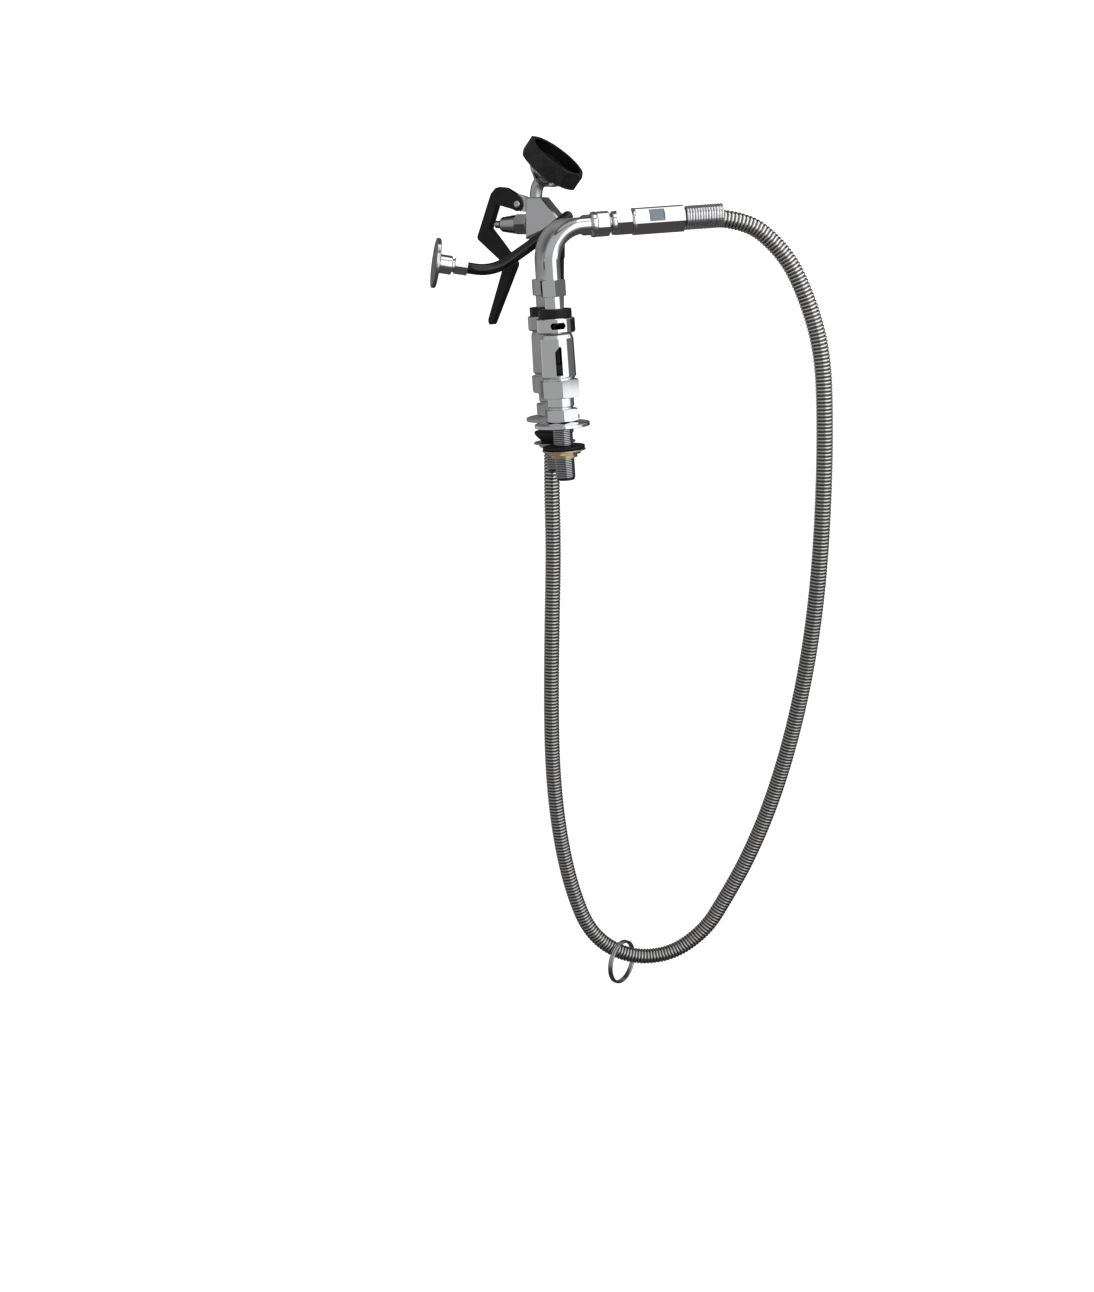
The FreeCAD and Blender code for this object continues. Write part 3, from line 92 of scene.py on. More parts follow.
def settle(piece):
    # the piece's place goes into its mesh
    pick(piece)
    bpy.ops.object.transform_apply(location=True, rotation=True, scale=True)


sprayerSet = {
    "place": (0.020, 0.122, 0.205),
    "lean": 4,
    "turn": -35,
    "head": (0.0004, 0, 0.095),
    "headTilt": 39,
}

# the sprayer's own frame, in which its pieces are made upright, and the frame of its head
sprayPlace = (Matrix.Translation(sprayerSet["place"])
              @ Matrix.Rotation(math.radians(sprayerSet["lean"]), 4, "Y")
              @ Matrix.Rotation(math.radians(sprayerSet["turn"]), 4, "Z"))
headPlace = (sprayPlace @ Matrix.Translation(sprayerSet["head"])
             @ Matrix.Rotation(math.radians(sprayerSet["headTilt"]), 4, "Y"))


def newMaterial(name, color, metallic, roughness):
    material = bpy.data.materials.new(name)
    material.use_nodes = True
    shader = material.node_tree.nodes["Principled BSDF"]
    shader.inputs["Base Color"].default_value = (*color, 1)
    shader.inputs["Metallic"].default_value = metallic
    shader.inputs["Roughness"].default_value = roughness
    return material, material.node_tree, shader


def addNoise(tree, scale, detail=3.0, stretch=(1, 1, 1)):
    place = tree.nodes.new("ShaderNodeTexCoord")
    mapping = tree.nodes.new("ShaderNodeMapping")
    mapping.inputs["Scale"].default_value = stretch
    noise = tree.nodes.new("ShaderNodeTexNoise")
    noise.inputs["Scale"].default_value = scale
    noise.inputs["Detail"].default_value = detail
    tree.links.new(place.outputs["Object"], mapping.inputs["Vector"])
    tree.links.new(mapping.outputs["Vector"], noise.inputs["Vector"])
    return noise


def rampTo(tree, source, socket, stops):
    ramp = tree.nodes.new("ShaderNodeValToRGB")
    first, last = ramp.color_ramp.elements[0], ramp.color_ramp.elements[1]
    first.position, first.color = stops[0][0], (*stops[0][1], 1)
    last.position, last.color = stops[-1][0], (*stops[-1][1], 1)
    for position, color in stops[1:-1]:
        middle = ramp.color_ramp.elements.new(position)
        middle.color = (*color, 1)
    tree.links.new(source, ramp.inputs["Fac"])
    tree.links.new(ramp.outputs["Color"], socket)
    return ramp


def bumpFrom(tree, source, shader, strength, distance):
    bump = tree.nodes.new("ShaderNodeBump")
    bump.inputs["Strength"].default_value = strength
    bump.inputs["Distance"].default_value = distance
    tree.links.new(source, bump.inputs["Height"])
    tree.links.new(bump.outputs["Normal"], shader.inputs["Normal"])
    return bump


def mathNode(tree, operation, first, second=None):
    node = tree.nodes.new("ShaderNodeMath")
    node.operation = operation
    for socket, value in zip(node.inputs, (first, second)):
        if isinstance(value, (int, float)):
            socket.default_value = value
        elif value is not None:
            tree.links.new(value, socket)
    return node.outputs[0]


def mapRange(tree, value, low, high, fromLow=0.0, fromHigh=1.0):
    node = tree.nodes.new("ShaderNodeMapRange")
    node.inputs["From Min"].default_value = fromLow
    node.inputs["From Max"].default_value = fromHigh
    node.inputs["To Min"].default_value = low
    node.inputs["To Max"].default_value = high
    tree.links.new(value, node.inputs["Value"])
    return node.outputs["Result"]


def darken(tree, shader, share, color):
    tone = tree.nodes.new("ShaderNodeMix")
    tone.data_type = "RGBA"
    socket = shader.inputs["Base Color"]
    if socket.links:
        tree.links.new(socket.links[0].from_socket, tone.inputs["A"])
    else:
        tone.inputs["A"].default_value = socket.default_value
    tone.inputs["B"].default_value = color
    tree.links.new(share, tone.inputs["Factor"])
    tree.links.new(tone.outputs["Result"], socket)


def dimInside(tree, shader, middle, radius, lowest, highest, color=(0.03, 0.022, 0.019, 1)):
    # dark inside this radius between two heights, where little light gets in; middle is the place
    # that the radius and the heights are measured from
    place = tree.nodes.new("ShaderNodeTexCoord")
    shift = tree.nodes.new("ShaderNodeMapping")
    back = middle.inverted()
    shift.inputs["Location"].default_value = back.translation
    shift.inputs["Rotation"].default_value = back.to_euler()
    tree.links.new(place.outputs["Object"], shift.inputs["Vector"])
    parts = tree.nodes.new("ShaderNodeSeparateXYZ")
    tree.links.new(shift.outputs["Vector"], parts.inputs["Vector"])
    squares = [mathNode(tree, "MULTIPLY", parts.outputs[axis], parts.outputs[axis])
               for axis in "XY"]
    across = mathNode(tree, "SQRT", mathNode(tree, "ADD", *squares))
    inner = mathNode(tree, "LESS_THAN", across, radius * mm)
    above = mathNode(tree, "GREATER_THAN", parts.outputs["Z"], lowest * mm)
    below = mathNode(tree, "LESS_THAN", parts.outputs["Z"], highest * mm)
    inside = mathNode(tree, "MULTIPLY", inner, mathNode(tree, "MULTIPLY", above, below))
    darken(tree, shader, inside, color)


def dimBeyond(tree, shader, point, facing):
    # painted shade: the metal is dark on the far side of a plane through the point
    place = tree.nodes.new("ShaderNodeTexCoord")
    across = tree.nodes.new("ShaderNodeVectorMath")
    across.operation = "DOT_PRODUCT"
    across.inputs[1].default_value = facing
    tree.links.new(place.outputs["Object"], across.inputs[0])
    inside = mathNode(tree, "GREATER_THAN", across.outputs["Value"], point.dot(facing))
    darken(tree, shader, inside, (0.02, 0.02, 0.02, 1))


def polishedChrome(name="polishedChrome", tone=0.78, rough=0.05, wave=0.012, inside=None):
    material, tree, shader = newMaterial(name, (tone, tone * 1.005, tone * 1.02), 1.0, rough)
    # patches a little duller or brighter, and a faint ripple
    patches = addNoise(tree, 38, 2).outputs["Fac"]
    tree.links.new(mapRange(tree, patches, rough * 0.7, rough * 1.7), shader.inputs["Roughness"])
    bumpFrom(tree, addNoise(tree, 55, 2).outputs["Fac"], shader, 0.10, wave * mm * 8)
    if inside:
        dimInside(tree, shader, *inside)
    return material


def blackRubber(name="blackRubber", tone=0.009, inside=None):
    material, tree, shader = newMaterial(name, (tone, tone, tone), 0.0, 0.55)
    rampTo(tree, addNoise(tree, 140, 4).outputs["Fac"], shader.inputs["Base Color"],
           [(0.3, (tone * 0.7,) * 3), (0.75, (tone * 1.4,) * 3)])
    bumpFrom(tree, addNoise(tree, 900, 4).outputs["Fac"], shader, 0.35, 0.25 * mm)
    shader.inputs["Specular IOR Level"].default_value = 0.22
    if inside:
        dimInside(tree, shader, *inside, (0.002, 0.002, 0.002, 1))
    return material


def satinBlack(name="satinBlack", rough=0.42, grainScale=700):
    material, tree, shader = newMaterial(name, (0.006, 0.006, 0.0062), 0.0, rough)
    shader.inputs["Specular IOR Level"].default_value = 0.25
    bumpFrom(tree, addNoise(tree, grainScale, 3).outputs["Fac"], shader, 0.22, 0.15 * mm)
    rampTo(tree, addNoise(tree, 45, 3).outputs["Fac"], shader.inputs["Base Color"],
           [(0.3, (0.0045, 0.0045, 0.0047)), (0.8, (0.009, 0.009, 0.0093))])
    return material


def glossBlack():
    material, tree, shader = newMaterial("glossBlack", (0.004, 0.004, 0.0042), 0.0, 0.16)
    shader.inputs["Specular IOR Level"].default_value = 0.5
    bumpFrom(tree, addNoise(tree, 70, 2).outputs["Fac"], shader, 0.25, 0.3 * mm)
    return material


def plainBrass():
    material, tree, shader = newMaterial("plainBrass", (0.62, 0.44, 0.20), 1.0, 0.34)
    rampTo(tree, addNoise(tree, 160, 5).outputs["Fac"], shader.inputs["Base Color"],
           [(0.3, (0.50, 0.34, 0.15)), (0.7, (0.70, 0.52, 0.27))])
    bumpFrom(tree, addNoise(tree, 1100, 3).outputs["Fac"], shader, 0.3, 0.2 * mm)
    return material


def threadSteel(name, depth):
    # bright on the thread's crests, with painted shade down in its grooves
    material, tree, shader = newMaterial(name, (0.40, 0.41, 0.43), 1.0, 0.12)
    rampTo(tree, addNoise(tree, 120, 3).outputs["Fac"], shader.inputs["Base Color"],
           [(0.3, (0.34, 0.345, 0.36)), (0.8, (0.50, 0.51, 0.53))])
    bumpFrom(tree, addNoise(tree, 900, 3).outputs["Fac"], shader, 0.06, 0.1 * mm)
    dimInside(tree, shader, Matrix.Translation((0, depth * mm, 0)), 11.2, -62.2, 0)
    return material


def satinSteel(name="satinSteel", tone=0.52, rough=0.30):
    material, tree, shader = newMaterial(name, (tone, tone, tone), 1.0, rough)
    streaks = addNoise(tree, 260, 4, (1, 1, 0.15))
    rampTo(tree, streaks.outputs["Fac"], shader.inputs["Base Color"],
           [(0.25, (tone * 0.85,) * 3), (0.8, (tone * 1.12,) * 3)])
    bumpFrom(tree, streaks.outputs["Fac"], shader, 0.12, 0.1 * mm)
    return material


def ribSteel():
    # painted highlight on the ribs and painted shade down in the grooves
    material, tree, shader = newMaterial("ribSteel", (0.3, 0.3, 0.3), 1.0, 0.18)
    crest = tree.nodes.new("ShaderNodeAttribute")
    crest.attribute_name = "crest"
    cloud = mathNode(tree, "MULTIPLY", addNoise(tree, 300, 3).outputs["Fac"], 0.25)
    height = mathNode(tree, "ADD", crest.outputs["Fac"], cloud)
    rampTo(tree, height, shader.inputs["Base Color"],
           [(0.05, (0.09, 0.086, 0.083)), (0.55, (0.36, 0.355, 0.35)), (1.0, (0.84, 0.835, 0.83))])
    # painted shade: darker towards the floor
    place = tree.nodes.new("ShaderNodeSeparateXYZ")
    tree.links.new(tree.nodes.new("ShaderNodeTexCoord").outputs["Object"], place.inputs["Vector"])
    share = mapRange(tree, place.outputs["Z"], 0.4, 0.0, -0.3, 0.14)
    darken(tree, shader, share, (0.03, 0.028, 0.027, 1))
    bumpFrom(tree, addNoise(tree, 700, 3).outputs["Fac"], shader, 0.1, 0.1 * mm)
    return material


def greyInsert():
    material, tree, shader = newMaterial("greyInsert", (0.155, 0.18, 0.22), 0.0, 0.5)
    bumpFrom(tree, addNoise(tree, 900, 3).outputs["Fac"], shader, 0.2, 0.12 * mm)
    rampTo(tree, addNoise(tree, 90, 3).outputs["Fac"], shader.inputs["Base Color"],
           [(0.3, (0.14, 0.165, 0.20)), (0.8, (0.18, 0.205, 0.245))])
    return material


def cupChrome():
    # bright outside, unlit inside the bumper
    material = polishedChrome("cupChrome", 0.46, 0.13, 0.03)
    facing = headPlace.to_3x3() @ Vector((0, 0, 1))
    point = headPlace @ Vector((0, 0, -10 * mm))
    dimBeyond(material.node_tree, material.node_tree.nodes["Principled BSDF"], point, facing)
    return material


def mottledChrome():
    # the wall flange, with painted reflections: dark and bright streaks in its colour stand for what
    # it mirrors close by
    material, tree, shader = newMaterial("mottledChrome", (0.6, 0.6, 0.6), 1.0, 0.14)
    streaks = addNoise(tree, 95, 5, (1, 1, 0.35))
    rampTo(tree, streaks.outputs["Fac"], shader.inputs["Base Color"],
           [(0.36, (0.30, 0.30, 0.31)), (0.52, (0.62, 0.62, 0.63)), (0.66, (0.86, 0.86, 0.88))])
    bumpFrom(tree, streaks.outputs["Fac"], shader, 0.5, 0.6 * mm)
    return material


finishes = {
    "chrome": polishedChrome(),
    "castChrome": polishedChrome("castChrome", 0.70, 0.20, 0.03),
    "dullChrome": polishedChrome("dullChrome", 0.56, 0.13, 0.03),
    "neckChrome": polishedChrome("neckChrome", 0.58, 0.22, 0.03),
    "cupChrome": cupChrome(),
    "mottledChrome": mottledChrome(),
    "rubber": blackRubber(),
    # the bumper's rubber has painted shade inside its bore
    "bumperRubber": blackRubber("bumperRubber", 0.010, (headPlace, 32.5, -30, 30)),
    "satinBlack": satinBlack(),
    "gripBlack": satinBlack("gripBlack", 0.34, 500),
    "glossBlack": glossBlack(),
    "brass": plainBrass(),
    "frontThreadSteel": threadSteel("frontThreadSteel", 0),
    "rearThreadSteel": threadSteel("rearThreadSteel", riserSpacing),
    "satinSteel": satinSteel(),
    "screwSteel": satinSteel("screwSteel", 0.72, 0.16),
    "hoseSteel": ribSteel(),
    "springSteel": polishedChrome("springSteel", 0.95, 0.1, 0.0),
    "ringSteel": polishedChrome("ringSteel", 0.36, 0.06, 0.01),
    "insert": greyInsert(),
}

# the breaker's unlit inside: radius, lowest and highest point in millimetres
unlit = {
    "breaker_chamber": (17.3, 50, 107.5),
    "hood": (19.9, 108.5, 122),
    "tailpiece": (14, 50, 124),
}
# each riser's depth and its chrome's tone, roughness and ripple; the rear riser's lower tone is
# painted shade
risers = {"front": (0, 0.78, 0.05, 0.012), "rear": (riserSpacing, 0.66, 0.46, 0.03)}
for side, (depth, tone, rough, wave) in risers.items():
    finishes[side + "Chrome"] = polishedChrome(side + "Chrome", tone, rough, wave)
    place = Matrix.Translation((0, depth * mm, 0))
    for kind, zone in unlit.items():
        name = side + "_" + kind + "_chrome"
        finishes[name] = polishedChrome(name, tone, rough, wave, (place, *zone))


def paint(piece, key):
    piece.data.materials.clear()
    piece.data.materials.append(finishes[key])
    for face in piece.data.polygons:
        face.material_index = 0


hoseSet = {
    "start": (150.3, 0, outletHeight),
    "corners": [
        (221, 0, outletHeight), (273, 0, 181), (299, 0, 127), (317, 0, 60), (318, 0, -25),
        (315, 4, -122), (309, 13, -224), (298, 28, -327), (279, 45, -431), (253, 62, -528),
        (222, 76, -608), (192, 87, -666), (164, 95, -714), (114, 102, -748), (55, 109, -746),
        (8, 116, -709), (-13, 120, -640), (-24, 121, -560), (-27, 122, -470), (-22, 122, -372),
        (-14, 122, -272), (-5, 122, -172), (-1, 122, -78),
    ],
    "beforeEnd": (5.8, 122, 2),
    "end": (11.35, 122, 81.3),
    "radius": 10.2,
    "sides": 20,
    "ribPitch": 4.3,
    "stations": 30,
    # along one rib: the part of the pitch and the share of the radius there
    "ribShape": [(0.0, 1.0), (0.36, 1.0), (0.5, 0.955), (0.6, 0.9), (0.84, 0.9), (0.93, 0.955)],
}


def hoseLine():
    points = [hoseSet["start"], *hoseSet["corners"], hoseSet["beforeEnd"], hoseSet["end"]]
    curve = bpy.data.curves.new("hoseRoute", "CURVE")
    curve.dimensions = "3D"
    spline = curve.splines.new("NURBS")
    spline.points.add(len(points) - 1)
    for spot, point in zip(spline.points, points):
        spot.co = (point[0] * mm, point[1] * mm, point[2] * mm, 1)
    spline.order_u = 3
    spline.use_endpoint_u = True
    spline.resolution_u = 24
    holder = bpy.data.objects.new("hoseRoute", curve)
    bpy.context.scene.collection.objects.link(holder)
    line = bpy.data.meshes.new_from_object(holder)
    path = [vertex.co.copy() for vertex in line.vertices]
    bpy.data.objects.remove(holder)
    bpy.data.meshes.remove(line)
    return path


def alongLine(path, count):
    # evenly spaced places on the line, each with its direction and a steady cross axis
    reach = [0.0]
    for before, after in zip(path, path[1:]):
        reach.append(reach[-1] + (after - before).length)
    places, index = [], 0
    cross = Vector((0, 1, 0))
    for step in range(count + 1):
        target = reach[-1] * step / count
        while index < len(path) - 2 and reach[index + 1] < target:
            index += 1
        part = (target - reach[index]) / max(reach[index + 1] - reach[index], 1e-9)
        spot = path[index].lerp(path[index + 1], part)
        low, high = max(index - 1, 0), min(index + 2, len(path) - 1)
        ahead = (path[high] - path[low]).normalized()
        cross = (cross - ahead * cross.dot(ahead)).normalized()
        places.append((spot, ahead, cross))
    return places, reach[-1]


def hoseShape(places, ribs):
    # rings of vertices along the line, wide on the ribs and narrow in the grooves
    sides, stations = hoseSet["sides"], hoseSet["stations"]
    angles = [2 * math.pi * side / sides for side in range(sides)]
    shape = bmesh.new()
    loops = []
    for rib in range(ribs):
        for part, swell in hoseSet["ribShape"]:
            spot, ahead, cross = places[min(int((rib + part) * stations), len(places) - 1)]
            other = ahead.cross(cross)
            radius = hoseSet["radius"] * mm * swell
            loops.append([
                shape.verts.new(spot + (cross * math.cos(angle) + other * math.sin(angle)) * radius)
                for angle in angles])
    for before, after in zip(loops, loops[1:]):
        for side in range(sides):
            shape.faces.new((before[side], after[side], after[side - 1], before[side - 1]))
    shape.faces.new(loops[0])
    shape.faces.new(list(reversed(loops[-1])))
    bmesh.ops.recalc_face_normals(shape, faces=shape.faces)
    mesh = bpy.data.meshes.new("ribbedHose")
    shape.to_mesh(mesh)
    shape.free()
    return mesh


def markCrests(mesh):
    # one on the ribs and nothing in the grooves, for the finish's painted highlight and painted
    # shade
    swells = [shape[1] for shape in hoseSet["ribShape"]]
    lowest = min(swells)
    heights = [(swell - lowest) / (1 - lowest) for swell in swells]
    crest = mesh.attributes.new("crest", "FLOAT", "POINT")
    for index in range(len(mesh.vertices)):
        crest.data[index].value = heights[index // hoseSet["sides"] % len(heights)]


def makeHose(ring):
    path = hoseLine()
    length = sum((b - a).length for a, b in zip(path, path[1:]))
    ribs = int(length / (hoseSet["ribPitch"] * mm))
    places, length = alongLine(path, ribs * hoseSet["stations"])
    mesh = hoseShape(places, ribs)
    markCrests(mesh)
    mesh.shade_smooth()
    hose = bpy.data.objects.new("ribbedHose", mesh)
    bpy.context.scene.collection.objects.link(hose)
    paint(hose, "hoseSteel")
    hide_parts("hose")
    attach(hose, "fixture")
    print("stage: hose", round(length, 3), "m,", ribs, "ribs")


def ringProfile(name, profile, sides=48):
    # a ring of points drawn out and widened step by step, as on a lathe, and left in edit mode;
    # the profile is (radius, height) in millimetres
    clearSelection()
    radius, height = profile[0]
    bpy.ops.mesh.primitive_circle_add(vertices=sides, radius=radius * mm,
                                      location=(0, 0, height * mm))
    piece = bpy.context.object
    piece.name = name
    piece.data.name = name
    settle(piece)
    bpy.ops.object.mode_set(mode="EDIT")
    bpy.ops.mesh.select_all(action="SELECT")
    for wider, higher in profile[1:]:
        rise = (0, 0, (higher - height) * mm)
        bpy.ops.mesh.extrude_region_move(TRANSFORM_OT_translate={"value": rise})
        factor = wider / radius
        bpy.ops.transform.resize(value=(factor, factor, 1), center_override=(0, 0, higher * mm))
        radius, height = wider, higher
    return piece


def closeEnds(piece):
    # both open rings get a lid
    for end in (min, max):
        edge = end(vertex.co.z for vertex in bmesh.from_edit_mesh(piece.data).verts)
        bpy.ops.mesh.select_all(action="DESELECT")
        shape = bmesh.from_edit_mesh(piece.data)
        for vertex in shape.verts:
            vertex.select = abs(vertex.co.z - edge) < 1e-6 and vertex.is_boundary
        shape.select_flush(True)
        bmesh.update_edit_mesh(piece.data)
        bpy.ops.mesh.edge_face_add()


def closeSeams():
    # joins rings that lie on each other, turns all faces outward and leaves edit mode
    bpy.ops.mesh.select_all(action="SELECT")
    bpy.ops.mesh.remove_doubles(threshold=seamWeld)
    bpy.ops.mesh.normals_make_consistent(inside=False)
    bpy.ops.object.mode_set(mode="OBJECT")


def joinPieces(first, *others):
    clearSelection()
    for piece in (first, *others):
        piece.select_set(True)
    bpy.context.view_layer.objects.active = first
    bpy.ops.object.join()


def putAt(piece, turn):
    # turns the finished piece to its place in the model
    piece.matrix_world = turn
    settle(piece)


def edgeRound(piece, width, segments=3, angle=25):
    edge = piece.modifiers.new("edge", "BEVEL")
    edge.width = width * mm
    edge.segments = segments
    edge.limit_method = "ANGLE"
    edge.angle_limit = math.radians(angle)
    pick(piece)
    bpy.ops.object.modifier_apply(modifier="edge")


def keepFlatsFlat(piece, sharp):
    # large faces keep their own direction and the rounded edges turn between them
    weigh = piece.modifiers.new("flats", "WEIGHTED_NORMAL")
    weigh.weight = 90
    weigh.keep_sharp = sharp


def finish(piece, key, slot, body, *replaced):
    # shading and material; the nodes that the piece replaces are hidden and the piece is attached to
    # its body
    pick(piece)
    bpy.ops.object.shade_smooth_by_angle(angle=math.radians(38))
    keepFlatsFlat(piece, True)
    bpy.ops.object.modifier_apply(modifier="flats")
    paint(piece, key)
    if replaced:
        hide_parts(*replaced)
    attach(piece, body)


shankSet = {
    "low": -63.0,
    "high": 12.0,
    "core": 10.7,
    "bore": 7.9,
    "pitch": 2.1,
    "steps": 28,
    "threadLow": -61.2,
    "threadHigh": -0.6,
    # one tooth: the radius, or None for the root, and the part of the pitch
    "tooth": [(None, 0), (11.6, 0.22), (11.6, 0.74), (None, 0.96)],
    "rootBelowCore": 0.4,
}


def threadRidge():
    # one tooth's outline carried round and up as a screw
    clearSelection()
    bpy.ops.mesh.primitive_plane_add(size=1 * mm)
    ridge = bpy.context.object
    low, pitch = shankSet["threadLow"], shankSet["pitch"]
    root = shankSet["core"] - shankSet["rootBelowCore"]
    for index, (radius, part) in zip((0, 1, 3, 2), shankSet["tooth"]):
        ridge.data.vertices[index].co = ((radius or root) * mm, 0, (low + part * pitch) * mm)
    bpy.ops.object.mode_set(mode="EDIT")
    bpy.ops.mesh.select_all(action="SELECT")
    bpy.ops.mesh.delete(type="ONLY_FACE")
    bpy.ops.object.mode_set(mode="OBJECT")
    turns = int((shankSet["threadHigh"] - low) / pitch) - 1
    screw = ridge.modifiers.new("screw", "SCREW")
    screw.angle = 2 * math.pi
    screw.screw_offset = pitch * mm
    screw.iterations = turns
    screw.steps = screw.render_steps = shankSet["steps"]
    bpy.ops.object.modifier_apply(modifier="screw")
    bpy.ops.object.mode_set(mode="EDIT")
    bpy.ops.mesh.select_all(action="SELECT")
    bpy.ops.mesh.remove_doubles(threshold=seamWeld)
    bpy.ops.mesh.fill_holes(sides=4)
    closeSeams()
    return ridge


def makeShank(side, depth):
    low, high, core, bore = (shankSet[key] for key in ("low", "high", "core", "bore"))
    shank = ringProfile("threaded_shank_" + side, [
        (bore, low), (core - 0.7, low), (core, low + 0.7), (core, high - 0.4), (core - 0.4, high),
        (bore, high), (bore, low)])
    closeSeams()
    joinPieces(shank, threadRidge())
    putAt(shank, Matrix.Translation((0, depth * mm, 0)))
    finish(shank, side + "ThreadSteel", "shank_steel", "fixture", side + "_shank")


makeShank("front", 0)
makeShank("rear", riserSpacing)
print("stage: threaded shanks")


def outletPlace(start):
    # a piece made upright lies along the outlet from here
    return Matrix.Translation((start * mm, 0, outletHeight * mm)) @ turnToX


collarSet = {
    "start": 69.1,
    "profile": [(8.4, 0), (9.6, 0), (9.6, 1.6), (11.2, 2.1), (13.0, 3.0), (13.3, 4.2), (13.3, 7.2),
                (12.6, 8.2), (10.6, 8.6), (10.6, 12.9), (8.4, 12.9), (8.4, 0)],
}


def makeCollar():
    # the nipple between the tee and the coupling nut, with the nut's round collar
    collar = ringProfile("coupling_collar", collarSet["profile"], 64)
    closeSeams()
    edgeRound(collar, 0.35, 2)
    putAt(collar, outletPlace(collarSet["start"]))
    finish(collar, "frontChrome", "chrome", "fixture", "swivel_nipple")


makeCollar()


teeSet = {
    "start": 47.5,
    "collar": [(9.6, 0), (12.4, 0), (13.8, 0.9), (14.3, 2.4), (14.3, 5.0), (13.7, 6.6), (12.4, 7.4),
               (9.6, 7.4), (9.6, 0)],
    "sides": 10,
    "facetTurn": 16,
    "facets": [(9.6, 6.0), (13.0, 6.0), (14.15, 7.2), (14.15, 20.3), (13.0, 21.6), (9.6, 21.6),
               (9.6, 6.0)],
    "centre": 59.8,
    "branch": [(9.6, 7), (11.6, 7), (11.6, 26.3), (11.0, 26.9), (9.6, 26.9), (9.6, 7)],
    "branchTurn": 128.2,
}


def makeTee():
    # a round collar on the pipe, a ten-sided body and the branch to the rear riser
    place = outletPlace(teeSet["start"])
    collar = ringProfile("outlet_tee_body", teeSet["collar"], 64)
    closeSeams()
    edgeRound(collar, 0.3, 2)
    putAt(collar, place)
    facets = ringProfile("tee_facets", teeSet["facets"], teeSet["sides"])
    closeSeams()
    edgeRound(facets, 0.55, 3, 15)
    putAt(facets, place @ Matrix.Rotation(math.radians(teeSet["facetTurn"]), 4, "Z"))
    branch = ringProfile("tee_branch", teeSet["branch"], 48)
    closeSeams()
    edgeRound(branch, 0.3, 2)
    putAt(branch, Matrix.Translation((teeSet["centre"] * mm, 0, outletHeight * mm))
          @ Matrix.Rotation(math.radians(teeSet["branchTurn"]), 4, "Z") @ turnToX)
    joinPieces(collar, facets, branch)
    finish(collar, "frontChrome", "chrome", "fixture", "outlet_tee")


makeTee()


sleeveRingSet = {
    "start": 95.4,
    "profile": [(13.4, 0), (14.5, 0), (15.05, 0.7), (15.2, 1.7), (15.05, 2.8), (14.5, 3.6),
                (13.4, 3.6), (13.4, 0)],
}


def makeSleeveRing():
    # the raised round rim at the sleeve's nut end
    rim = ringProfile("sleeve_rim", sleeveRingSet["profile"], 64)
    closeSeams()
    edgeRound(rim, 0.25, 2)
    putAt(rim, outletPlace(sleeveRingSet["start"]))
    finish(rim, "frontChrome", "chrome", "swivel")


makeSleeveRing()


screwSet = {
    "pivot": (-45, 0, 48),
    "reach": 6.65,
    "stem": 2.5,
    "head": 4.3,
    "headHigh": 1.7,
    "recess": 2.0,
    "recessDepth": 0.9,
    "centre": 0.4,
    # how far in the star's notches come
    "notch": 0.62,
}


def screwProfile():
    # half the screw from its waist to the recess, and the same mirrored for the other end
    reach, head, high = screwSet["reach"], screwSet["head"], screwSet["headHigh"]
    recess, floor = screwSet["recess"], high - screwSet["recessDepth"]
    half = [(screwSet["stem"], 0), (head, 0), (head, high * 0.3), (head * 0.92, high * 0.65),
            (head * 0.72, high), (recess, high - 0.05), (recess * 0.9, floor),
            (screwSet["centre"], floor)]
    upper = [(radius, reach + height) for radius, height in half]
    return [(radius, -height) for radius, height in reversed(upper)] + upper


def makeScrew():
    # a domed head with a star recess at each end of the lever's pivot
    screw = ringProfile("pivot_screw", screwProfile(), 24)
    outer, lowest = screwSet["recess"] + 0.01, screwSet["reach"] + 0.5
    shape = bmesh.from_edit_mesh(screw.data)
    for vertex in shape.verts:
        across = math.hypot(vertex.co.x, vertex.co.y)
        # every fourth of the 24 corners
        step = round(math.atan2(vertex.co.y, vertex.co.x) / (math.pi / 12)) % 4
        onWall = 1.0 * mm < across <= outer * mm and abs(vertex.co.z) > lowest * mm
        vertex.select = onWall and step == 0
    shape.select_flush(True)
    bmesh.update_edit_mesh(screw.data)
    notch = screwSet["notch"]
    bpy.ops.transform.resize(value=(notch, notch, 1), center_override=(0, 0, 0))
    closeEnds(screw)
    closeSeams()
    pivot = Matrix.Translation(Vector(screwSet["pivot"]) * mm)
    putAt(screw, sprayPlace @ pivot @ Matrix.Rotation(math.radians(90), 4, "X"))
    finish(screw, "screwSteel", "washer_steel", "fixture", "lever_pin")


makeScrew()


stemSet = {
    "place": (-31.7, 0, 24.6),
    "profile": [(6.2, -9.4), (6.2, -7.2), (4.55, -6.0), (4.55, 45.8), (4.0, 46.6), (1.7, 46.6),
                (1.7, 50.3), (1.2, 50.9)],
}


def makeStem():
    # the valve's stem ends in a button with a short push pin
    stem = ringProfile("push_stem", stemSet["profile"], 40)
    closeEnds(stem)
    closeSeams()
    foot = Matrix.Translation(Vector(stemSet["place"]) * mm)
    putAt(stem, sprayPlace @ foot @ Matrix.Rotation(math.radians(-90), 4, "Y"))
    finish(stem, "dullChrome", "chrome", "valve", "valve_stem")


makeStem()
print("stage: collar, pivot screw and stem")


bendSet = {
    "radius": 39,
    "pipe": 9.45,
    "bottom": 151.7,
    "frontRun": 55.3,
    "rearRun": 76.4,
    "rearTurn": -51.8,
    "sides": 16,
    # the share of the radius that a handle needs for a round quarter turn
    "roundShare": 0.5523,
    "straightHandle": 5,
}


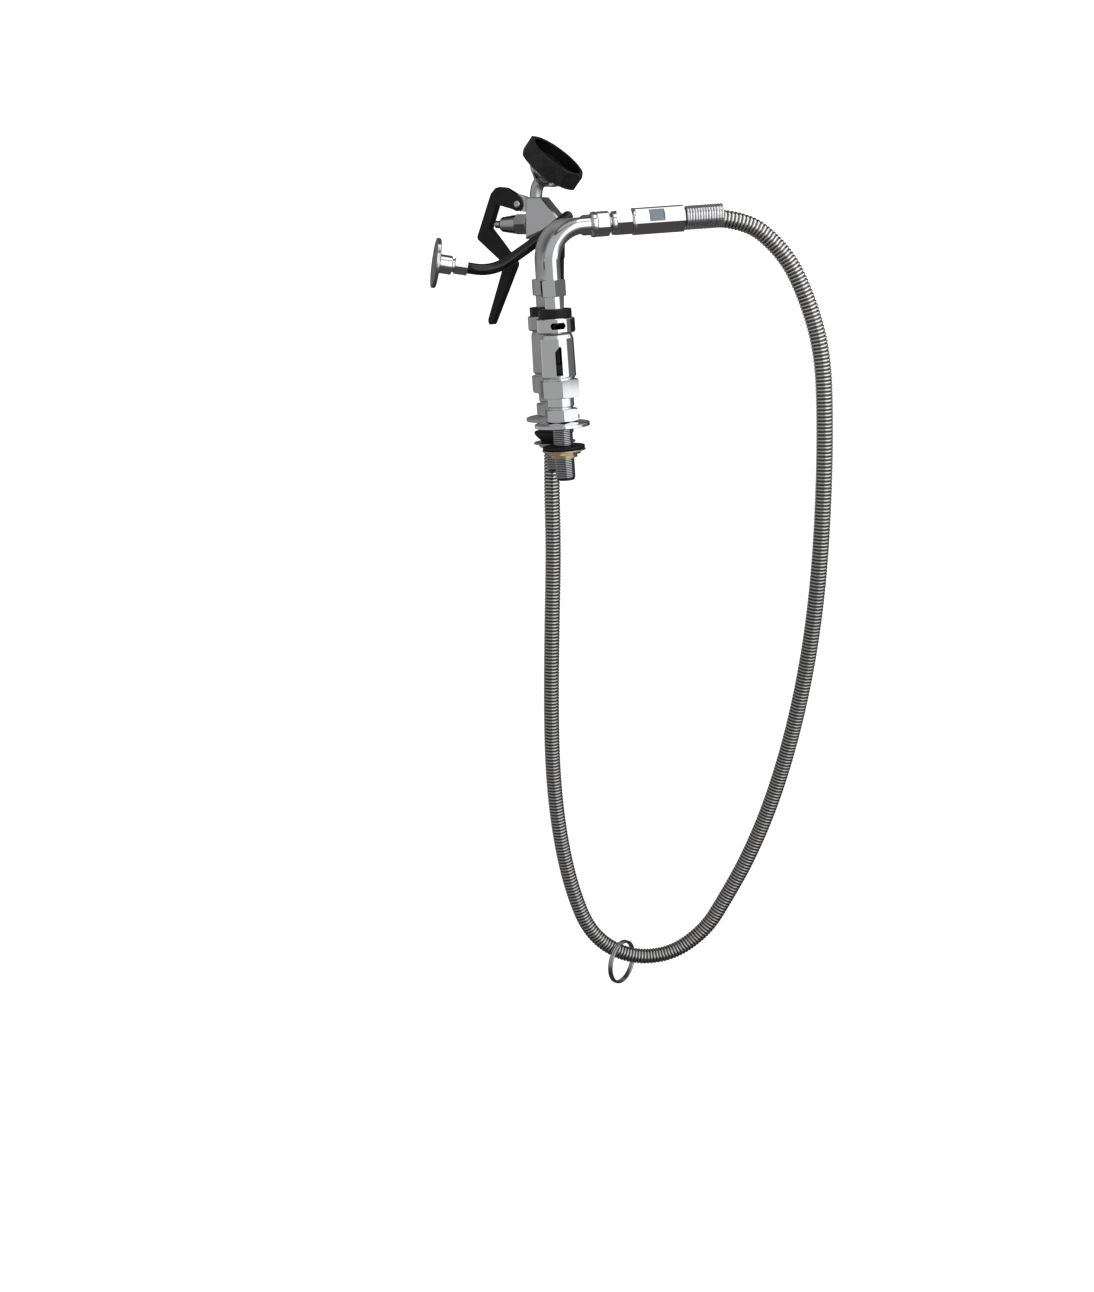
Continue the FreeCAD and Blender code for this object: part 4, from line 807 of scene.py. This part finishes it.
def makeBend(side, depth, run, turn):
    # a chromed pipe bent round once from the riser to the outlet
    radius, bottom, level = bendSet["radius"], bendSet["bottom"], outletHeight
    grip, short = radius * bendSet["roundShare"], bendSet["straightHandle"]
    clearSelection()
    bpy.ops.curve.primitive_bezier_curve_add(radius=1)
    pipe = bpy.context.object
    spline = pipe.data.splines[0]
    spline.bezier_points.add(2)
    stops = [((0, bottom), (0, bottom - short), (0, bottom + short)),
             ((0, level - radius), (0, level - radius - short), (0, level - radius + grip)),
             ((radius, level), (radius - grip, level), (radius + short, level)),
             ((run, level), (run - short, level), (run + short, level))]
    for point, (spot, before, after) in zip(spline.bezier_points, stops):
        point.handle_left_type = point.handle_right_type = "FREE"
        point.co = (spot[0] * mm, 0, spot[1] * mm)
        point.handle_left = (before[0] * mm, 0, before[1] * mm)
        point.handle_right = (after[0] * mm, 0, after[1] * mm)
    pipe.data.resolution_u = 24
    pipe.data.bevel_depth = bendSet["pipe"] * mm
    pipe.data.bevel_resolution = bendSet["sides"]
    pipe.data.use_fill_caps = True
    bpy.ops.object.convert(target="MESH")
    pipe = bpy.context.object
    pipe.name = pipe.data.name = "bent_pipe_" + side
    putAt(pipe, Matrix.Translation((0, depth * mm, 0)) @ Matrix.Rotation(math.radians(turn), 4, "Z"))
    bpy.ops.object.mode_set(mode="EDIT")
    closeSeams()
    finish(pipe, side + "Chrome", "chrome", "fixture", side + "_elbow")


makeBend("front", 0, bendSet["frontRun"], 0)
makeBend("rear", riserSpacing, bendSet["rearRun"], bendSet["rearTurn"])
print("stage: bent pipes")


hoseRingSet = {
    "centre": (47.5, 107.3, -751.0),
    "facing": (0.719, -0.694, -0.026),
    "radius": 28.0,
    "wire": 2.0,
    "apart": 3.0,
}


def makeHoseRing():
    # a split ring: two curls of wire side by side
    across = Vector(hoseRingSet["facing"]).normalized()
    curls = []
    for side in (-0.5, 0.5):
        middle = Vector(hoseRingSet["centre"]) + across * hoseRingSet["apart"] * side
        clearSelection()
        bpy.ops.mesh.primitive_torus_add(
            major_segments=96, minor_segments=16, major_radius=hoseRingSet["radius"] * mm,
            minor_radius=hoseRingSet["wire"] * mm, location=middle * mm,
            rotation=across.to_track_quat("Z", "Y").to_euler())
        curls.append(bpy.context.object)
    joinPieces(*curls)
    curls[0].name = "split_ring"
    settle(curls[0])
    finish(curls[0], "ringSteel", "spring_steel", "fixture", "hose_ring")
    print("stage: hose ring")
    return curls[0]


makeHose(makeHoseRing())


softEdges = {
    "width": 0.35,
    "segments": 2,
    "wider": {"lever": 1.1, "bumper_ring": 1.7, "handle_grip": 0.8, "spray_body": 1.2,
              "deck_flange": 0.5, "union_nut": 0.9, "base": 0.7, "riser_nut": 0.6,
              "wall_flange": 0.8, "coupling_nut": 0.6, "swivel_sleeve": 0.45, "cap_ring": 0.6,
              "rubber_washer": 0.7},
}
# nodes whose shapes are made above
remade = ("hose", "hose_ring", "front_shank", "rear_shank", "swivel_nipple", "outlet_tee",
          "lever_pin", "valve_stem", "front_elbow", "rear_elbow")
# nodes without edges to round
noEdges = ("spring_guard", "hook_arm")
# the pieces that each riser has, and then the pieces that there is one of
nodeFinish = {
    "rubber_washer": "rubber", "friction_plate": "satinSteel", "locknut": "brass",
    "deck_flange": "chrome", "base": "chrome", "union_nut": "chrome", "breaker_chamber": "chrome",
    "seat_washer": "rubber", "float": "satinBlack", "hood": "chrome", "hood_plug": "satinBlack",
    "cap_ring": "satinBlack", "tailpiece": "chrome", "riser_nut": "chrome",
}
otherFinish = {
    "coupling_nut": "chrome", "swivel_sleeve": "chrome",
    "sleeve_marker": "insert", "spring_guard": "springSteel",
    "spray_body": "castChrome", "bonnet": "dullChrome", "lever": "satinBlack",
    "neck_pipe": "neckChrome", "spray_cup": "cupChrome", "spray_face": "satinBlack",
    "bumper_ring": "bumperRubber", "handle_pipe": "castChrome", "handle_grip": "gripBlack",
    "hose_nut": "castChrome",
    "wall_flange": "mottledChrome", "flange_hub": "chrome", "hook_nut": "chrome",
    "hook_arm": "glossBlack",
}


def smoothNode(piece):
    # joins the solid's loose triangles and shades them as one surface
    piece.data.shade_smooth()
    weld = piece.modifiers.new("weld", "WELD")
    weld.merge_threshold = cadWeld


def soften(piece, width):
    # clears the flat faces' inner edges and rounds the outer edges a little
    flat = piece.modifiers.new("flat", "DECIMATE")
    flat.decimate_type = "DISSOLVE"
    flat.angle_limit = math.radians(0.6)
    edge = piece.modifiers.new("edge", "BEVEL")
    edge.width = width * mm
    edge.segments = softEdges["segments"] + (width > 1)
    edge.limit_method = "ANGLE"
    edge.angle_limit = math.radians(16)
    edge.harden_normals = True
    edge.use_clamp_overlap = True
    keepFlatsFlat(piece, False)


for name, node in nodes.items():
    if name in remade:
        continue
    side, _, kind = name.partition("_")
    if kind in nodeFinish and side in ("front", "rear"):
        key = nodeFinish[kind]
        if key == "chrome":
            key = name + "_chrome" if kind in unlit else side + "Chrome"
        paint(node, key)
    elif name in otherFinish:
        paint(node, otherFinish[name])
    smoothNode(node)
    if name not in noEdges:
        wider = softEdges["wider"]
        soften(node, wider.get(name, wider.get(kind, softEdges["width"])))
print("stage: finishes set")


studioSet = {
    "floorHeight": -0.86,
    "skyTone": 1.3,
    "tentRadius": 9.0,
    "faceTurn": 98.1,
    # the tent's brightness by the angle round it, at the camera's level, above and below it
    "aroundTones": [(-180, 0.10), (-156, 0.14), (-148, 0.46), (-128, 0.46), (-112, 0.40),
                    (10, 0.42), (15, 1.4), (66, 1.4), (71, 0.16), (128, 0.16), (134, 0.03),
                    (150, 0.03), (158, 0.30), (180, 0.12)],
    "aboveTones": [(-180, 0.16), (-120, 0.20), (-95, 0.45), (2, 0.50), (10, 1.35), (112, 1.35),
                   (122, 0.10), (165, 0.08), (180, 0.12)],
    "belowTones": [(-180, 0.10), (-156, 0.14), (-148, 0.46), (-112, 0.42), (10, 0.42), (15, 1.4),
                   (84, 1.2), (92, 0.16), (128, 0.16), (134, 0.03), (150, 0.03), (158, 0.30),
                   (180, 0.12)],
    # and the share of it from the bottom of the tent to the top
    "risingTones": [(-1.0, 0.0), (-0.72, 0.0), (-0.52, 0.1), (-0.36, 0.22), (-0.27, 0.6),
                    (-0.21, 1.0), (0.72, 1.0), (0.74, 0.08), (0.81, 0.08), (0.83, 1.0), (1.0, 1.0)],
}


def addFloor():
    floorMaterial, _, shader = newMaterial("paleFloor", (0.9, 0.9, 0.9), 0.0, 1.0)
    shader.inputs["Specular IOR Level"].default_value = 0.0
    clearSelection()
    bpy.ops.mesh.primitive_plane_add(size=30, location=(0, 1.0, studioSet["floorHeight"]))
    floor = bpy.context.object
    floor.name = "floor"
    settle(floor)
    floor.data.materials.append(floorMaterial)
    floor.visible_glossy = False


def toneRamp(tree, value, stops):
    # light tones along a scale from the first stop to the last, halved to fit the ramp
    ramp = tree.nodes.new("ShaderNodeValToRGB")
    elements = ramp.color_ramp.elements
    elements[0].position, elements[1].position = 0.0, 1.0
    first, last = stops[0][0], stops[-1][0]
    for number, (mark, tone) in enumerate(stops):
        place = (mark - first) / (last - first)
        if number == 0:
            stop = elements[0]
        elif number == len(stops) - 1:
            stop = elements[len(elements) - 1]
        else:
            stop = elements.new(place)
        stop.color = (tone / 2, tone / 2, tone / 2, 1)
    tree.links.new(value, ramp.inputs["Fac"])
    return ramp.outputs["Color"]


def mixTones(tree, share, first, second):
    node = tree.nodes.new("ShaderNodeMix")
    node.data_type = "RGBA"
    tree.links.new(share, node.inputs["Factor"])
    for socket, value in ((node.inputs["A"], first), (node.inputs["B"], second)):
        if isinstance(value, tuple):
            socket.default_value = value
        else:
            tree.links.new(value, socket)
    return node.outputs["Result"]


def addTent():
    # a light tent that only the polished pieces mirror: grey at the left, white at the right and
    # dark cards behind
    clearSelection()
    bpy.ops.mesh.primitive_uv_sphere_add(segments=48, ring_count=24, radius=studioSet["tentRadius"])
    tent = bpy.context.object
    tent.name = "tent"
    tentMaterial = bpy.data.materials.new("tentCloth")
    tentMaterial.use_nodes = True
    tree = tentMaterial.node_tree
    tree.nodes.clear()
    output = tree.nodes.new("ShaderNodeOutputMaterial")
    glow = tree.nodes.new("ShaderNodeEmission")
    tree.links.new(glow.outputs[0], output.inputs["Surface"])
    place = tree.nodes.new("ShaderNodeTexCoord")
    turn = tree.nodes.new("ShaderNodeMapping")
    turn.inputs["Rotation"].default_value = (0, 0, math.radians(studioSet["faceTurn"]))
    tree.links.new(place.outputs["Object"], turn.inputs["Vector"])
    parts = tree.nodes.new("ShaderNodeSeparateXYZ")
    tree.links.new(turn.outputs["Vector"], parts.inputs["Vector"])
    around = mathNode(tree, "ARCTAN2", parts.outputs["Y"], parts.outputs["X"])
    angle = mapRange(tree, around, 0, 1, -math.pi, math.pi)
    height = mathNode(tree, "DIVIDE", parts.outputs["Z"], studioSet["tentRadius"])
    bands = toneRamp(tree, angle, studioSet["aroundTones"])
    upper = toneRamp(tree, angle, studioSet["aboveTones"])
    lower = toneRamp(tree, angle, studioSet["belowTones"])
    level = mixTones(tree, mapRange(tree, height, 0, 1, -0.092, -0.084), lower, bands)
    blend = mixTones(tree, mapRange(tree, height, 0, 1, 0.13, 0.22), level, upper)
    rising = toneRamp(tree, mapRange(tree, height, 0, 1, -1, 1), studioSet["risingTones"])
    low = mathNode(tree, "MULTIPLY", rising, 2.0)
    tree.links.new(mixTones(tree, low, (0.036, 0.034, 0.033, 1), blend), glow.inputs["Color"])
    glow.inputs["Strength"].default_value = 2.0
    tent.data.materials.append(tentMaterial)
    tent.visible_camera = False
    tent.visible_diffuse = False
    tent.visible_shadow = False
    tent.visible_transmission = False


def addStudio():
    addFloor()
    addTent()
    world = bpy.data.worlds.new("studio")
    world.use_nodes = True
    world.node_tree.nodes["Background"].inputs["Color"].default_value = (1, 1, 1, 1)
    world.node_tree.nodes["Background"].inputs["Strength"].default_value = studioSet["skyTone"]
    bpy.context.scene.world = world
    bpy.context.scene.view_settings.view_transform = "Standard"


addStudio()
print("stage: studio ready")
